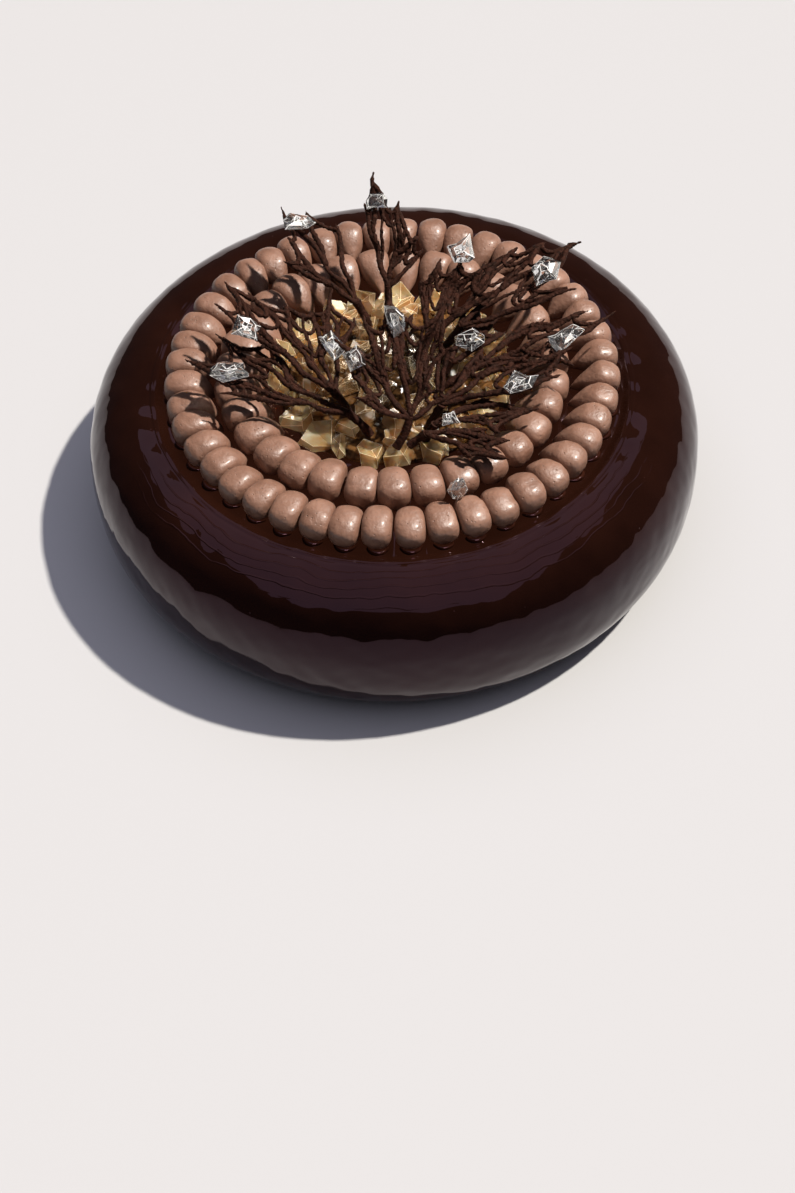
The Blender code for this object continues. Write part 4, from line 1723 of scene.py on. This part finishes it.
@dataclass
class Studio:
    """Pale floor, soft light and the camera.

    Attributes:
        floor_size: Side of the floor in metres.
        floor_colour: Linear colour of the floor.
        floor_roughness: Roughness of the floor.
        lights: The softboxes.
        world: Colour and strength of the air's own light.
        backdrop: Linear colour seen behind the floor, which lights nothing.
        lens: Focal length in millimetres.
        sensor: Height of the camera's sensor in millimetres.
        clip: Nearest and farthest distance that the camera sees.
        pitch: Camera's look below level, in degrees.
        roll: Camera's roll in degrees.
        stand: Camera's place in metres.
    """

    floor_size: float = 14.0
    floor_colour: Colour = (0.56, 0.555, 0.55)
    floor_roughness: float = 0.7
    lights: tuple[Softbox, ...] = (
        Softbox("key_light", (0.489, 0.104, 0.866), 1.6, (0.05, 0.05), 52.0, (1.0, 0.95, 0.88),
                spared=("glazed_body", "floor")),
        Softbox("key_on_floor", (0.489, 0.104, 0.866), 60.0, (1.9, 1.9), 52700.0,
                (1.0, 0.95, 0.88), served=("floor",), mirrored=False),
        Softbox("key_on_glaze", (0.46, 0.42, 0.78), 1.6, (0.05, 0.05), 62.0,
                (1.0, 0.93, 0.85), served=("glazed_body", "glaze_beads"),
                blocked_by=("glazed_body", "glaze_beads"), mirrored=False),
        Softbox("sky_light", (-0.02, 0.0, 1.0), 1.3, (2.4, 1.80), 10.2, (0.79, 0.79, 1.0),
                served=("glazed_body", "glaze_beads", "floor")),
        Softbox("light_on_jelly", (0.30, 0.60, 0.75), 1.2, (0.6, 0.6), 14.0, (1.0, 0.93, 0.84),
                served=("jelly_chunks",)),
        Softbox("light_on_beads", (0.12, -0.74, 0.66), 1.2, (0.6, 0.15), 8.0, (1.0, 0.80, 0.76),
                served=("glaze_beads",)),
        Softbox("sky_on_toppings", (-0.02, -0.07, 1.0), 1.3, (2.4, 1.96), 3.5, (0.86, 0.84, 1.0),
                spared=("glazed_body", "floor"), mirrored=False),
    )
    world: tuple[Colour, float] = ((0.78, 0.82, 0.95), 0.05)
    backdrop: Colour = (0.74, 0.73, 0.72)
    lens: float = 60.358
    sensor: float = 36.0
    clip: Pair = (0.01, 50.0)
    pitch: float = 50.6527
    roll: float = -1.89808
    stand: Triple = (-0.0005, -0.4152, 0.4550)

    def build_floor(self) -> None:
        """Lay a floor that reaches far past the cake."""
        half = self.floor_size / 2
        mesh = bpy.data.meshes.new("floor")
        mesh.from_pydata([(-half, -half, 0), (half, -half, 0), (half, half, 0),
                          (-half, half, 0)], [], [(0, 1, 2, 3)])
        material = bpy.data.materials.new("pale_floor")
        material.use_nodes = True
        shader = material.node_tree.nodes["Principled BSDF"]
        shader.inputs["Base Color"].default_value = (*self.floor_colour, 1.0)
        shader.inputs["Roughness"].default_value = self.floor_roughness
        mesh.materials.append(material)
        floor = bpy.data.objects.new("floor", mesh)
        bpy.context.scene.collection.objects.link(floor)

    def build_light(self) -> None:
        """Hang the softboxes, set the air's own light and the backdrop's colour."""
        for box in self.lights:
            box.light()
        world = bpy.data.worlds.new("studio_air")
        world.use_nodes = True
        world.node_tree.nodes.clear()
        net = Net(world.node_tree)
        colour, strength = self.world
        air = net.add("ShaderNodeBackground", {"Color": (*colour, 1.0), "Strength": strength})
        seen = net.add("ShaderNodeBackground", {"Color": (*self.backdrop, 1.0)})
        path = net.add("ShaderNodeLightPath")
        both = net.add("ShaderNodeMixShader", {
            0: (path, "Is Camera Ray"), 1: (air, "Background"), 2: (seen, "Background")})
        net.add("ShaderNodeOutputWorld", {"Surface": (both, "Shader")})
        bpy.context.scene.world = world
        bpy.context.scene.view_settings.view_transform = "Standard"

    def build_camera(self) -> None:
        """Stand the camera, turned by its pitch and then rolled about its own axis."""
        data = bpy.data.cameras.new("camera")
        data.sensor_fit = "VERTICAL"
        data.sensor_height = self.sensor
        data.lens = self.lens
        data.clip_start, data.clip_end = self.clip
        camera = bpy.data.objects.new("camera", data)
        turn = (Matrix.Rotation(math.radians(90 - self.pitch), 4, "X")
                @ Matrix.Rotation(math.radians(self.roll), 4, "Z"))
        camera.matrix_world = Matrix.Translation(self.stand) @ turn
        bpy.context.scene.collection.objects.link(camera)
        bpy.context.scene.camera = camera


def main() -> None:
    """Build every piece of the cake, then the studio round it."""
    logging.basicConfig(level=logging.INFO, format="%(name)s: %(message)s")
    GlazedBody().dress()
    outer = DropRing("piped_drops_outer", "drops_outer", count=44, radius=0.0597,
                     first_angle=-86.6, height=0.0083, bulb=0.0058, tail=0.0084, seed=3)
    inner = DropRing("piped_drops_inner", "drops_inner", count=31, radius=0.0458,
                     first_angle=-90.5, height=0.0086, bulb=0.0053, tail=0.0094, seed=8)
    outer.dress()
    inner.dress()
    GlazeBeads(outer).dress()
    JellyHeap().dress()
    for number, fan in enumerate(FANS, 1):
        fan.dress(100 * number)
    for shard in SHARDS:
        shard.dress()
    studio = Studio()
    studio.build_floor()
    studio.build_light()
    studio.build_camera()


if __name__ == "__main__":
    main()
